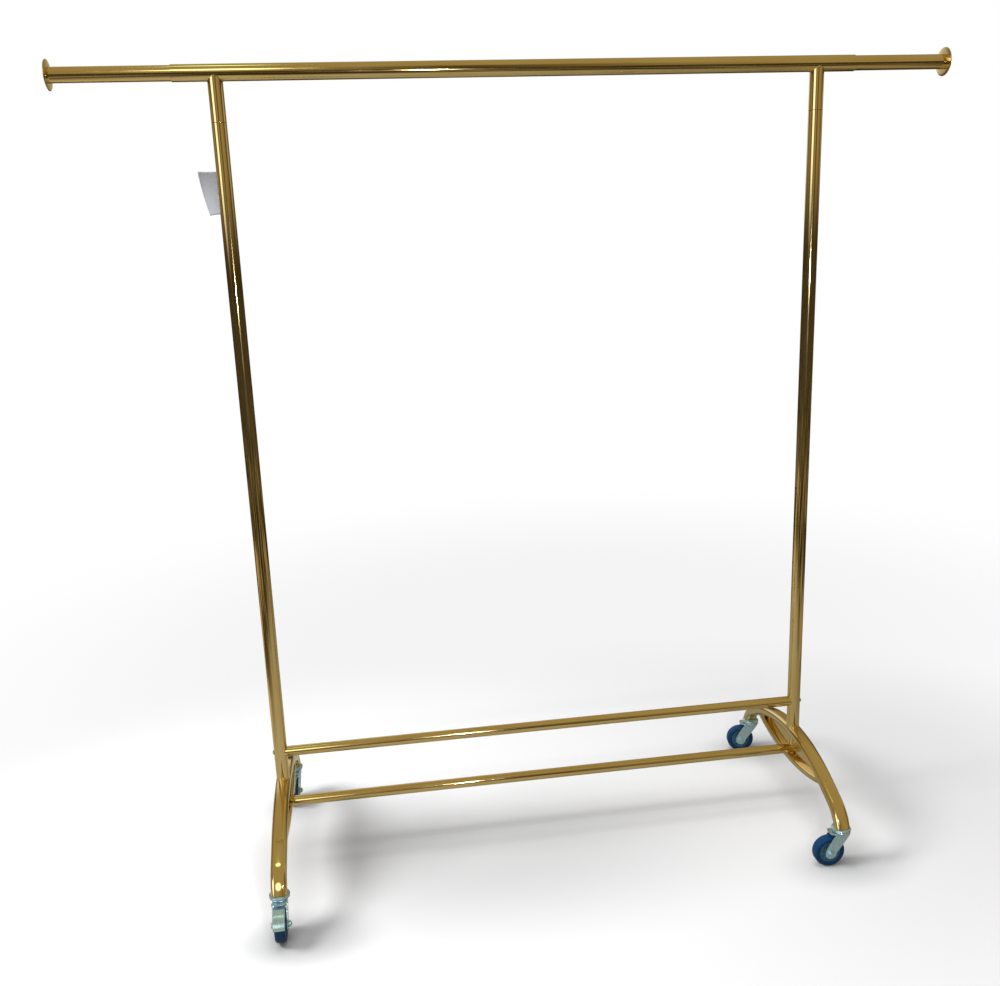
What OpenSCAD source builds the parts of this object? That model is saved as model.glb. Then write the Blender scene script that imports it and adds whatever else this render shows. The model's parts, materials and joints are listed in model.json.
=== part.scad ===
// Rolling garment rack: one straight hanging rail with pull-out ends, on two arched legs with casters.
// Origin on the floor under the middle of the rail. X runs along the rail, -Y is the front, Z is up.

/* [Hanging rail] */
// Length of the fixed rail
rail_l = 1500; // [1200:1:1900]
// Height of the rail's centre line above the floor
rail_h = 1852; // [1500:1:2200]
// Outside diameter of the rail
rail_od = 35; // [29:0.1:42]
// Wall of the rail and the pull-outs
rail_wall = 1.2; // [1:0.1:1.5]
// Distance between the latch holes under the rail
hole_pitch = 50; // [42:1:60]
// Distance from the rail's end to its first latch hole
hole_setback = 50; // [42:1:60]
// Latch holes on each side, counting the one that the neck hides
hole_count = 6; // [3:1:6]
// Diameter of a latch hole
hole_d = 8; // [7:0.1:9.5]

/* [Pull-out ends] */
// Length of the left pull-out that shows
left_out = 243; // [205:1:290]
// Length of the right pull-out that shows
right_out = 217; // [205:1:260]
// Length of a pull-out that stays inside the rail
ext_inside = 115; // [100:1:140]
// Wall of a pull-out
ext_wall = 1.2; // [1:0.1:1.5]
// Gap all round between tubes that slide
slide_gap = 0.3; // [0.2:0.05:0.4]
// Diameter of the round end flange
flange_d = 62; // [52:1:74]
// Thickness of the end flange
flange_t = 2.6; // [2:0.1:3.2]

/* [Uprights] */
// Distance between the two uprights
upright_spacing = 1325; // [1110:1:1420]
// Outside diameter of an upright
upright_od = 32; // [27:0.1:36]
// Wall of an upright
upright_wall = 1.5; // [1.2:0.1:1.8]
// Length of a neck below the rail's centre line
neck_drop = 100; // [81:1:117]
// Height of the lowest accessory hole in the right upright
accessory_h = 673; // [560:1:800]
// Distance between accessory holes
accessory_pitch = 97; // [81:1:117]
// Accessory holes in the right upright
accessory_count = 3; // [1:1:4]
// Diameter of an accessory hole
accessory_d = 6; // [5:0.1:7]

/* [Legs] */
// Height of the top of the arch
arch_top = 222; // [205:1:262]
// Width of the flat-oval arch tube
arch_w = 36; // [34:1:43]
// Depth of the flat-oval arch tube
arch_d = 24; // [22:1:27]
// Wall of the arch tube
arch_wall = 1.5; // [1.2:0.1:1.8]
// Radius of the arch's long curve, on top
arch_r = 480; // [400:1:575]
// Slope at which the long curve ends
arch_slope = 26; // [22:1:31]
// Straight stretch after the long curve
arch_straight = 48.6; // [41:0.1:58]
// Radius of the bend above a caster, on top
knee_r = 96; // [85:1:100]
// Height of the leg's cut end
leg_end_h = 98; // [94:1:104]
// Height of the underside of the bow, in the middle
bow_h = 125; // [118:1:132]
// Width of the bow
bow_w = 30; // [25:1:34]
// Thickness of the bow
bow_t = 17; // [14:0.5:17]
// Radius of the bow's underside
bow_r = 620; // [520:1:740]
// Diameter of the post between the bow and the arch
post_d = 14; // [12:0.5:16]
// Thickness of the web plates beside the post
web_t = 2; // [1.6:0.1:2.4]

/* [Stretchers] */
// Outside diameter of a stretcher
stretcher_od = 25; // [21:0.1:26]
// Wall of a stretcher
stretcher_wall = 1.2; // [1:0.1:1.4]
// Height of the upper stretcher's centre line
upper_h = 291; // [260:1:340]

/* [Casters] */
// Diameter of a wheel
wheel_d = 75; // [70:1:78]
// Width of a tyre
wheel_w = 24; // [20:0.5:26]
// Distance from the swivel axis to the wheel's axle
trail = 30; // [25:0.5:34]
// Distance of a swivel axis from the upright, along the leg
swivel_y = 285.5; // [285:0.5:286]
// Diameter of the swivel head
head_d = 46; // [42:0.5:52]
// Diameter of the stem in the leg
stem_d = 10; // [8:0.1:10.5]
// Length of the stem in the leg
stem_l = 20; // [16:0.5:20]
// Diameter of the axle
axle_d = 8; // [6.5:0.1:9]
// Thickness of the fork's sheet
fork_t = 2.5; // [2:0.1:3]

/* [Price label] */
// Width of the paper label
label_w = 40; // [33:1:48]
// Height of the paper label
label_h = 88; // [74:1:105]
// Height of the label's top edge
label_top = 1655; // [1400:1:1700]

/* [Hidden] */
$fn = 96;
gold = [0.80, 0.64, 0.30];
zinc = [0.72, 0.78, 0.82];
navy = [0.05, 0.14, 0.34];

// Gap between faces that are welded, pressed or stuck together
weld_gap = 0.05;
// Gap all round a turning or screwed shaft
run_gap = 0.06;

rail_r = rail_od / 2;
rail_bore = rail_r - rail_wall;
ext_r = rail_bore - slide_gap;
ext_bore = ext_r - ext_wall;
half = upright_spacing / 2;
upright_r = upright_od / 2;
upright_bore = upright_r - upright_wall;
seam_h = rail_h - neck_drop;
stretcher_r = stretcher_od / 2;
stretcher_bore = stretcher_r - stretcher_wall;

// Screws
screw_r = 3;
screw_hole_r = screw_r + 0.2;
screw_head_r = 5.5;
screw_head_t = 3.3;
spigot_up = 60;
spigot_down = 55;
spigot_wall = 3;
neck_screw_h = seam_h - 25;
plug_l = 25;
plug_recess = 2;
seam_gap = 0.2;
screw_grip = 15;

// Latch
latch_x = rail_l / 2 - hole_setback;
button_r = hole_d / 2 - 0.2;
button_tip_r = 0.63 * button_r;
button_tip_t = 1.3;
button_out = 4;
button_flange_r = button_r + 1.4;
button_flange_t = 1.2;
button_reach = sqrt(pow(ext_bore - 0.1, 2) - pow(button_flange_r, 2)) - button_out;
spring_w = 7;
spring_t = 0.8;
spring_l = 34;

// Leg
arch_corner = 10;
bow_corner = 6;
bow_wall = 1.2;
arch_mid_r = arch_r - arch_d / 2;
arch_c = [0, arch_top - arch_r];
knee_mid_r = knee_r - arch_d / 2;
knee_end = 88;
bow_c = [0, bow_h + bow_r];
bow_top = bow_h + bow_t;
bow_mid_r = bow_r - bow_t / 2;
// Where the bow's centre line is well inside the arch tube
bow_join_r = arch_r - 0.65 * arch_d;
bow_join = (pow(bow_join_r, 2) - pow(bow_mid_r, 2) + pow(bow_c[1] - arch_c[1], 2)) / (2 * (bow_c[1] - arch_c[1]));
bow_angle = asin(sqrt(pow(bow_join_r, 2) - pow(bow_join, 2)) / bow_mid_r);
post_r = post_d / 2;
lower_h = bow_top + weld_gap + stretcher_r;
insert_l = 14;
insert_recess = 1;

// Caster, with its own X from the swivel axis to the axle
wheel_r = wheel_d / 2;
head_r = head_d / 2;
stem_r = stem_d / 2;
axle_r = axle_d / 2;
CORNERS = [[-1, -1], [1, -1], [-1, 1], [1, 1]];
HEADINGS = [270, 180, 262, 170];
FRONT_LEFT = 0;
FRONT_RIGHT = 1;
REAR_LEFT = 2;
REAR_RIGHT = 3;
BRAKED = [true, false, true, false];
ball_r = 2.5;
ball_count = 12;
ball_ring = 0.72 * head_r;
race_gap = 0.2;
crown_top = leg_end_h - 11;
crown_r = head_r - 1;
race_floor = crown_top + 2 * (race_gap + ball_r);
skirt_h = crown_top + 1.4;
kingpin_r = 5.5;
kingpin_head_r = 8;
kingpin_head_t = 3.4;
arm_gap = 2;
arm_y = wheel_w / 2 + arm_gap;
arm_end_r = 14;
fork_back = -15;
fork_front = 19;
fork_nose = 31;
nose_r = 9;
hub_r = wheel_r - 12;
hub_w = wheel_w - 4;
boss_r = 10;
bush_r = axle_r + 2;
tyre_corner = 6;
nut_r = 6.6;
nut_t = 6;

// Brake pedal, shaped pressed down and then lifted
pedal_pin = [17, crown_top - 8];
pedal_pin_r = 2.5;
pedal_lift = 7;
pedal_gap = 0.35;
pedal_w = 2 * arm_y - 2;
pedal_t = 2.4;
pedal_toe = 14;
pedal_heel = 107;

// Price label
label_t = 0.3;
label_wrap = 70;

// Flat-oval section, x across the bend and y along the bend's axis
module flat_oval(depth, width, corner) {
    square([depth, width - 2 * corner], center = true);
    square([depth - 2 * corner, width], center = true);
    for (u = [-1, 1], v = [-1, 1])
        translate([u * (depth / 2 - corner), v * (width / 2 - corner)]) circle(corner);
}

// Bends a section round an axis along X through c, from one angle to another, measured from the top
module bend(c, radius, from, to) {
    translate([0, c[0], c[1]]) rotate([0, -90, 0]) rotate([0, 0, from])
        rotate_extrude(angle = to - from) translate([radius, 0]) children();
}

// The whole arched bar, grown or shrunk by a wall
module arch_bar(grow) {
    module section() flat_oval(arch_d + 2 * grow, arch_w + 2 * grow, arch_corner + grow);
    bend(arch_c, arch_mid_r, -arch_slope, arch_slope) section();
    for (side = [0, 1]) mirror([0, side, 0])
        translate([0, arch_c[0], arch_c[1]]) rotate([0, -90, 0]) rotate([0, 0, arch_slope]) {
            translate([arch_mid_r, 0, 0]) rotate([-90, 0, 0]) linear_extrude(arch_straight) section();
            translate([arch_mid_r - knee_mid_r, arch_straight, 0])
                rotate_extrude(angle = knee_end - arch_slope) translate([knee_mid_r, 0]) section();
        }
}

module below_leg_end() {
    translate([-arch_w, -arch_r, leg_end_h - arch_r]) cube([2 * arch_w, 2 * arch_r, arch_r]);
}

// The bow, grown or shrunk by a wall
module bow_bar(grow) {
    bend(bow_c, bow_mid_r, 180 - bow_angle, 180 + bow_angle)
        flat_oval(bow_t + 2 * grow, bow_w + 2 * grow, bow_corner + grow);
}

module tube_x(radius, bore, length) {
    rotate([0, 90, 0]) difference() {
        cylinder(r = radius, h = length, center = true);
        cylinder(r = bore, h = length + 2, center = true);
    }
}

module rod_x(radius, from, to) {
    translate([from, 0, 0]) rotate([0, 90, 0]) cylinder(r = radius, h = to - from);
}

// Button-head screw with its head's seat at the origin and its shank along -X
module screw_x(shank) {
    rod_x(screw_r, -shank, 0.5);
    difference() {
        rod_x(screw_head_r, 0, screw_head_t);
        translate([screw_head_t - 2, 0, 0]) rotate([0, 90, 0]) cylinder(r = 2.3, h = 3, $fn = 6);
    }
}

module on_side(side) {
    translate([side * half, 0, 0]) children();
}

module hang_rail() {
    neck_clear = upright_r + hole_d;
    color(gold) difference() {
        translate([0, 0, rail_h]) tube_x(rail_r, rail_bore, rail_l);
        for (side = [-1, 1], i = [0 : hole_count - 1]) {
            x = latch_x - i * hole_pitch;
            if (abs(x - half) > neck_clear)
                translate([side * x, 0, rail_h - rail_r - 1]) cylinder(d = hole_d, h = rail_wall + 3);
        }
    }
}

// Short tube welded below the rail, as wide as the upright that meets its lower end
module neck(side) {
    color(gold) on_side(side) difference() {
        translate([0, 0, seam_h]) cylinder(r = upright_r, h = neck_drop);
        translate([0, 0, seam_h - 1]) cylinder(r = upright_bore, h = neck_drop + 2);
        translate([0, 0, rail_h]) rod_x(rail_r + weld_gap, -2 * upright_od, 2 * upright_od);
        translate([-upright_od, -upright_od, rail_h]) cube([2 * upright_od, 2 * upright_od, rail_od]);
    }
}

// Tubes inside the two seams, welded in the necks and tapped for the screws
module spigots() {
    spigot_r = upright_bore - weld_gap;
    color(zinc) for (side = [-1, 1]) on_side(side) difference() {
        translate([0, 0, seam_h - spigot_down]) cylinder(r = spigot_r, h = spigot_down + spigot_up);
        translate([0, 0, seam_h - spigot_down - 1])
            cylinder(r = spigot_r - spigot_wall, h = spigot_down + spigot_up + 2);
        translate([0, 0, neck_screw_h]) rotate([-90, 0, 0]) cylinder(r = screw_r + run_gap, h = upright_od);
    }
}

module neck_screws() {
    color(gold) for (side = [-1, 1]) on_side(side)
        translate([0, upright_r, neck_screw_h]) rotate([0, 0, 90]) screw_x(12);
}

module pull_out_tube(side, out) {
    far = rail_l / 2 + out;
    near = rail_l / 2 - ext_inside;
    color(gold) translate([0, 0, rail_h]) difference() {
        translate([side * (far + near) / 2, 0, 0]) tube_x(ext_r, ext_bore, far - near);
        translate([side * latch_x, 0, -rail_r]) cylinder(d = hole_d, h = rail_r);
    }
}

module end_flange(side, out) {
    plug_r = ext_bore - weld_gap;
    color(gold) translate([side * (rail_l / 2 + out), 0, rail_h]) rotate([0, side * 90, 0]) {
        rotate_extrude() {
            translate([0, weld_gap]) square([flange_d / 2 - flange_t / 2, flange_t]);
            translate([flange_d / 2 - flange_t / 2, weld_gap + flange_t / 2]) circle(d = flange_t);
        }
        translate([0, 0, -16]) difference() {
            cylinder(r = plug_r, h = 16 + flange_t / 2);
            translate([0, 0, -1]) cylinder(r = plug_r - 2, h = 15);
        }
    }
}

module latch_button(side) {
    color(zinc) translate([side * latch_x, 0, rail_h]) rotate([180, 0, 0]) {
        translate([0, 0, button_reach - button_flange_t]) cylinder(r = button_flange_r, h = button_flange_t);
        translate([0, 0, button_reach - 0.5])
            cylinder(r = button_r, h = ext_r - 0.1 - button_tip_t - button_reach + 0.5);
        translate([0, 0, ext_r - 0.1 - button_tip_t])
            cylinder(r1 = button_r, r2 = button_tip_r, h = button_tip_t);
    }
}

// Leaf spring bent into a V, held between the button and the top of the pull-out
module latch_spring(side) {
    low = -(button_reach - button_flange_t - 0.1);
    high = ext_bore - 0.6;
    t = spring_t;
    color(zinc) translate([side * latch_x, spring_w / 2, rail_h]) mirror([side > 0 ? 0 : 1, 0, 0])
        rotate([90, 0, 0]) linear_extrude(spring_w) polygon([
            [6, low], [6, low + t], [-6, low + t], [-spring_l + 2, 2.5], [-spring_l + 2, 3.5],
            [-4, high - t], [6, high - t], [6, high], [-4.4, high], [-spring_l, 4], [-spring_l, 2],
            [-6.4, low],
        ]);
}

module upright(side) {
    foot = arch_top - 8;
    top = seam_h - seam_gap;
    color(gold) on_side(side) difference() {
        translate([0, 0, foot]) cylinder(r = upright_r, h = top - foot);
        translate([0, 0, foot - 1]) cylinder(r = upright_bore, h = top - foot + 2);
        arch_bar(weld_gap);
        translate([0, 0, neck_screw_h]) rotate([-90, 0, 0]) cylinder(r = screw_hole_r, h = upright_od);
        translate([0, 0, upper_h]) rod_x(screw_hole_r, -upright_od, upright_od);
        if (side > 0) for (i = [0 : accessory_count - 1])
            translate([0, 0, accessory_h + i * accessory_pitch]) rod_x(accessory_d / 2, -upright_od, 0);
    }
}

module leg_arch(side) {
    color(gold) on_side(side) difference() {
        arch_bar(0);
        arch_bar(-arch_wall);
        below_leg_end();
    }
}

module leg_bow(side) {
    color(gold) on_side(side) difference() {
        bow_bar(0);
        bow_bar(-bow_wall);
        arch_bar(weld_gap);
    }
}

module leg_post(side) {
    color(gold) on_side(side) difference() {
        translate([0, 0, bow_h + bow_t / 2]) cylinder(r = post_r, h = arch_top - arch_d / 2 - bow_h - bow_t / 2);
        arch_bar(weld_gap);
        bow_bar(weld_gap);
        translate([0, 0, lower_h]) rod_x(screw_hole_r, -post_d, post_d);
    }
}

module leg_web(side) {
    color(gold) on_side(side) difference() {
        rotate([90, 0, 90]) translate([0, 0, -web_t / 2]) linear_extrude(web_t) intersection() {
            translate(arch_c) circle(arch_r - arch_d - weld_gap, $fn = 720);
            translate(bow_c) circle(bow_r - bow_t - weld_gap, $fn = 720);
        }
        translate([0, 0, bow_h]) cylinder(r = post_r + weld_gap, h = arch_top - bow_h);
    }
}

module upper_stretcher() {
    color(gold) difference() {
        translate([0, 0, upper_h]) tube_x(stretcher_r, stretcher_bore, upright_spacing);
        for (side = [-1, 1]) on_side(side)
            translate([0, 0, upper_h - stretcher_od]) cylinder(r = upright_r + weld_gap, h = 2 * stretcher_od);
    }
}

module lower_stretcher() {
    color(gold) difference() {
        translate([0, 0, lower_h]) tube_x(stretcher_r, stretcher_bore, upright_spacing - web_t - 2 * weld_gap);
        for (side = [-1, 1]) on_side(side) {
            translate([0, 0, lower_h - stretcher_od]) cylinder(r = post_r + weld_gap, h = 2 * stretcher_od);
        }
    }
}

// Threaded plugs in the stretchers' four ends
module stretcher_plugs() {
    color(zinc) for (side = [0, 1]) mirror([side, 0, 0])
        for (end = [[upper_h, upright_r], [lower_h, post_r]])
            translate([half - end[1] - plug_recess, 0, end[0]]) difference() {
                rod_x(stretcher_bore - weld_gap, -plug_l, 0);
                rod_x(screw_r + run_gap, -plug_l - 1, 1);
            }
}

module stretcher_screws() {
    color(gold) for (side = [0, 1]) mirror([side, 0, 0])
        for (end = [[upper_h, upright_r], [lower_h, post_r]])
            translate([half + end[1], 0, end[0]]) screw_x(2 * end[1] + plug_recess + screw_grip);
}

// Plugs in the legs' cut ends, bored for the casters' stems
module leg_end_inserts() {
    color(zinc) for (side = [-1, 1], end = [-1, 1]) on_side(side) difference() {
        intersection() {
            arch_bar(-arch_wall - weld_gap);
            translate([-arch_w, end > 0 ? 0 : -arch_r, leg_end_h + insert_recess])
                cube([2 * arch_w, arch_r, insert_l]);
        }
        translate([0, end * swivel_y, leg_end_h - 1]) cylinder(r = stem_r + run_gap, h = insert_l + 4);
    }
}

// Paper flag beside the left upright, with its stuck part round the upright's back
module price_label() {
    inner = upright_r + weld_gap;
    far = 2 * inner;
    color("whitesmoke") on_side(-1) translate([0, 0, label_top - label_h]) linear_extrude(label_h) {
        translate([-inner - label_w, -label_t / 2]) square([label_w, label_t]);
        intersection() {
            difference() {
                circle(inner + label_t);
                circle(inner);
            }
            polygon([[0, 0], [-far, 0], [-far, far], [far * cos(180 - label_wrap), far * sin(180 - label_wrap)]]);
        }
    }
}

module at_caster(i) {
    translate([CORNERS[i][0] * half, CORNERS[i][1] * swivel_y, 0]) rotate([0, 0, HEADINGS[i]]) children();
}

// Stem, upper race and kingpin, which stay with the leg
module swivel_head(i) {
    color(zinc) at_caster(i) {
        translate([0, 0, leg_end_h]) cylinder(r = stem_r, h = stem_l);
        difference() {
            union() {
                translate([0, 0, leg_end_h - 2]) cylinder(r1 = 0.75 * head_r, r2 = 0.6 * head_r, h = 2);
                translate([0, 0, leg_end_h - 4]) cylinder(r1 = head_r, r2 = 0.75 * head_r, h = 2);
                translate([0, 0, skirt_h]) cylinder(r = head_r, h = leg_end_h - 4 - skirt_h);
            }
            translate([0, 0, skirt_h - 1])
                cylinder(r = ball_ring + ball_r + race_gap, h = race_floor - skirt_h + 1);
        }
        translate([0, 0, crown_top - fork_t - 1]) cylinder(r = kingpin_r, h = leg_end_h - crown_top);
        translate([0, 0, crown_top - fork_t - race_gap - kingpin_head_t])
            cylinder(r = kingpin_head_r, h = kingpin_head_t);
    }
}

module swivel_balls(i) {
    color("silver") at_caster(i) for (k = [0 : ball_count - 1])
        rotate([0, 0, k * 360 / ball_count]) translate([ball_ring, 0, race_floor - race_gap / 2 - ball_r])
            sphere(ball_r - race_gap / 4, $fn = 32);
}

// Point where a line from p touches a circle round c, on its left or right
function touch(p, c, r, hand) =
    let (d = c - p, far = norm(d), a = atan2(d[1], d[0]) + hand * asin(r / far), reach = sqrt(far * far - r * r))
    p + reach * [cos(a), sin(a)];

module fork(i) {
    axle = [trail, wheel_r];
    back = [fork_back, crown_top];
    front = [fork_front, crown_top];
    color(zinc) at_caster(i) difference() {
        union() {
            translate([0, 0, crown_top - fork_t]) linear_extrude(fork_t) {
                intersection() {
                    circle(crown_r);
                    square([2 * crown_r, 2 * (arm_y + fork_t)], center = true);
                }
                translate([0, -arm_y - fork_t]) square([fork_nose - nose_r, 2 * (arm_y + fork_t)]);
                translate([0, -arm_y - fork_t + nose_r]) square([fork_nose, 2 * (arm_y + fork_t - nose_r)]);
                for (y = [-1, 1]) translate([fork_nose - nose_r, y * (arm_y + fork_t - nose_r)]) circle(nose_r);
            }
            for (y = [-arm_y, arm_y + fork_t]) translate([0, y, 0]) rotate([90, 0, 0]) linear_extrude(fork_t) {
                polygon([back, touch(back, axle, arm_end_r, -1), axle, touch(front, axle, arm_end_r, 1), front]);
                translate(axle) circle(arm_end_r);
            }
        }
        translate([0, 0, crown_top - 2 * fork_t]) cylinder(r = kingpin_r + run_gap, h = 3 * fork_t);
        translate([trail, 0, wheel_r]) rotate([90, 0, 0])
            cylinder(r = axle_r + run_gap, h = 4 * arm_y, center = true);
        if (BRAKED[i]) at_pedal_pin() cylinder(r = pedal_pin_r + run_gap, h = 4 * arm_y, center = true);
    }
    if (BRAKED[i]) color(zinc) at_caster(i) brake_pin();
}

module at_pedal_pin() {
    translate([pedal_pin[0], 0, pedal_pin[1]]) rotate([90, 0, 0]) children();
}

// Pin across the fork, with a domed head outside each arm
module brake_pin() {
    grip = arm_y + fork_t + weld_gap;
    at_pedal_pin() {
        cylinder(r = pedal_pin_r, h = 2 * grip, center = true);
        for (side = [0, 1]) mirror([0, 0, side]) translate([0, 0, grip]) cylinder(r1 = 4, r2 = 3, h = 1.6);
    }
}

// Axle bolt with its head on one side and its nut on the other
module axle(i) {
    seat = arm_y + fork_t + weld_gap;
    color(zinc) at_caster(i) translate([trail, 0, wheel_r]) rotate([-90, 0, 0]) {
        translate([0, 0, -seat]) cylinder(r = axle_r, h = 2 * seat + nut_t + 2);
        translate([0, 0, -seat - 4]) cylinder(r = nut_r, h = 4, $fn = 6);
        translate([0, 0, seat]) difference() {
            cylinder(r = nut_r, h = nut_t, $fn = 6);
            translate([0, 0, -1]) cylinder(r = axle_r + run_gap, h = nut_t + 2);
        }
    }
}

// Tube that the fork clamps and the hub turns on
module wheel_bush(i) {
    color(zinc) at_caster(i) translate([trail, 0, wheel_r]) rotate([90, 0, 0]) difference() {
        cylinder(r = bush_r, h = 2 * (arm_y - weld_gap), center = true);
        cylinder(r = axle_r + run_gap, h = 4 * arm_y, center = true);
    }
}

module hub(i) {
    color([0.36, 0.46, 0.56]) at_caster(i) translate([trail, 0, wheel_r]) rotate([90, 0, 0]) difference() {
        union() {
            cylinder(r = hub_r, h = hub_w, center = true);
            cylinder(r = boss_r, h = 2 * arm_y - 1, center = true);
        }
        for (side = [0, 1]) mirror([0, 0, side]) translate([0, 0, hub_w / 2 - 4]) difference() {
            cylinder(r = hub_r - 3, h = 6);
            translate([0, 0, -1]) cylinder(r = boss_r, h = 8);
        }
        cylinder(r = bush_r + run_gap, h = 4 * arm_y, center = true);
    }
}

module tyre(i) {
    color(navy) at_caster(i) translate([trail, 0, wheel_r]) rotate([90, 0, 0]) rotate_extrude() intersection() {
        translate([hub_r + weld_gap + wheel_r, 0]) square([2 * wheel_r, wheel_w], center = true);
        union() {
            translate([wheel_r - 2 * tyre_corner, 0]) square([4 * tyre_corner, wheel_w - 2 * tyre_corner], center = true);
            translate([wheel_r - 3 * tyre_corner, 0]) square([4 * tyre_corner, wheel_w], center = true);
            for (y = [-1, 1]) translate([wheel_r - tyre_corner, y * (wheel_w / 2 - tyre_corner)]) circle(tyre_corner);
        }
    }
}

// Foot pedal curved over the braked wheel, lifted off the tyre
module brake_pedal(i) {
    inner = wheel_r + pedal_gap;
    far = 2 * wheel_r;
    color(zinc) at_caster(i) translate([pedal_pin[0], pedal_w / 2, pedal_pin[1]])
        rotate([90, -pedal_lift, 0]) linear_extrude(pedal_w) difference() {
            union() {
                circle(pedal_pin_r + 1.9);
                translate([trail, wheel_r] - pedal_pin) {
                    intersection() {
                        difference() {
                            circle(inner + pedal_t, $fn = 240);
                            circle(inner, $fn = 240);
                        }
                        polygon([
                            [0, 0], far * [cos(pedal_toe), sin(pedal_toe)], [far, far], [0, far],
                            far * [cos(pedal_heel), sin(pedal_heel)],
                        ]);
                    }
                    rotate(pedal_toe) translate([inner, -1]) square([pedal_t + 3, pedal_t]);
                }
            }
            circle(pedal_pin_r + run_gap);
        }
}

hang_rail();
neck(-1);  // left_neck
neck(1);  // right_neck
spigots();
neck_screws();
pull_out_tube(-1, left_out);  // left_pull_out_tube
pull_out_tube(1, right_out);  // right_pull_out_tube
end_flange(-1, left_out);  // left_end_flange
end_flange(1, right_out);  // right_end_flange
latch_button(-1);  // left_latch_button
latch_button(1);  // right_latch_button
latch_spring(-1);  // left_latch_spring
latch_spring(1);  // right_latch_spring
upright(-1);  // left_upright
upright(1);  // right_upright
leg_arch(-1);  // left_leg_arch
leg_arch(1);  // right_leg_arch
leg_bow(-1);  // left_leg_bow
leg_bow(1);  // right_leg_bow
leg_post(-1);  // left_leg_post
leg_post(1);  // right_leg_post
leg_web(-1);  // left_leg_web
leg_web(1);  // right_leg_web
upper_stretcher();
lower_stretcher();
stretcher_plugs();
stretcher_screws();
leg_end_inserts();
price_label();
swivel_head(FRONT_LEFT);  // front_left_swivel_head
swivel_head(FRONT_RIGHT);  // front_right_swivel_head
swivel_head(REAR_LEFT);  // rear_left_swivel_head
swivel_head(REAR_RIGHT);  // rear_right_swivel_head
swivel_balls(FRONT_LEFT);  // front_left_swivel_balls
swivel_balls(FRONT_RIGHT);  // front_right_swivel_balls
swivel_balls(REAR_LEFT);  // rear_left_swivel_balls
swivel_balls(REAR_RIGHT);  // rear_right_swivel_balls
fork(FRONT_LEFT);  // front_left_fork
fork(FRONT_RIGHT);  // front_right_fork
fork(REAR_LEFT);  // rear_left_fork
fork(REAR_RIGHT);  // rear_right_fork
axle(FRONT_LEFT);  // front_left_axle
axle(FRONT_RIGHT);  // front_right_axle
axle(REAR_LEFT);  // rear_left_axle
axle(REAR_RIGHT);  // rear_right_axle
wheel_bush(FRONT_LEFT);  // front_left_wheel_bush
wheel_bush(FRONT_RIGHT);  // front_right_wheel_bush
wheel_bush(REAR_LEFT);  // rear_left_wheel_bush
wheel_bush(REAR_RIGHT);  // rear_right_wheel_bush
hub(FRONT_LEFT);  // front_left_hub
hub(FRONT_RIGHT);  // front_right_hub
hub(REAR_LEFT);  // rear_left_hub
hub(REAR_RIGHT);  // rear_right_hub
tyre(FRONT_LEFT);  // front_left_tyre
tyre(FRONT_RIGHT);  // front_right_tyre
tyre(REAR_LEFT);  // rear_left_tyre
tyre(REAR_RIGHT);  // rear_right_tyre
brake_pedal(FRONT_LEFT);  // front_left_brake_pedal
brake_pedal(REAR_LEFT);  // rear_left_brake_pedal
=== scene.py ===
"""Rolling garment rack: gold tubes, welds, screws and casters built round its fixed frame."""

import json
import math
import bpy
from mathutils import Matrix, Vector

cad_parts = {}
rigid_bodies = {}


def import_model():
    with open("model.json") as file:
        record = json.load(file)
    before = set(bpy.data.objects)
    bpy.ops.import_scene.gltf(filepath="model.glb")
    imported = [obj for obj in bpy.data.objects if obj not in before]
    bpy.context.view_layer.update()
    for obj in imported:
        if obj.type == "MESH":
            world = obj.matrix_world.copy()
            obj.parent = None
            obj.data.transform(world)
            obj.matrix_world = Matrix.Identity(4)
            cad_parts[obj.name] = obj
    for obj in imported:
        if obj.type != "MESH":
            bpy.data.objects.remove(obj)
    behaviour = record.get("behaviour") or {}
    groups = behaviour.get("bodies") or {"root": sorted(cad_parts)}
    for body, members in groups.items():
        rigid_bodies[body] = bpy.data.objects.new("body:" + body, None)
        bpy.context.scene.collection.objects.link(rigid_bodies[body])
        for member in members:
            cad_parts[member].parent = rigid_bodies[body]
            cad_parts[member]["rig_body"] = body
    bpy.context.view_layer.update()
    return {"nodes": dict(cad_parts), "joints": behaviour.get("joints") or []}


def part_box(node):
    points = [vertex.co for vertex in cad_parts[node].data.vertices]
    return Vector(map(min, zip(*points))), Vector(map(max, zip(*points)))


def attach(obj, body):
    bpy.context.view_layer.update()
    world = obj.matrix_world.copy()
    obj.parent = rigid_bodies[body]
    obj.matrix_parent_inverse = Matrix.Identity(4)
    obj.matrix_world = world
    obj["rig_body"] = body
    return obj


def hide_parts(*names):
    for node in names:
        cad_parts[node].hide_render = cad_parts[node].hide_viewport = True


bl_info = {
    "name": "Rolling Garment Rack",
    "version": (1, 0, 0),
    "blender": (4, 5, 0),
    "location": "View3D > Sidebar > Garment Rack",
    "description": "Builds a gold garment rack with pull-out ends, arched legs and casters",
    "category": "Object",
}

import bmesh
import bpy
from mathutils import Matrix, Vector

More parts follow.
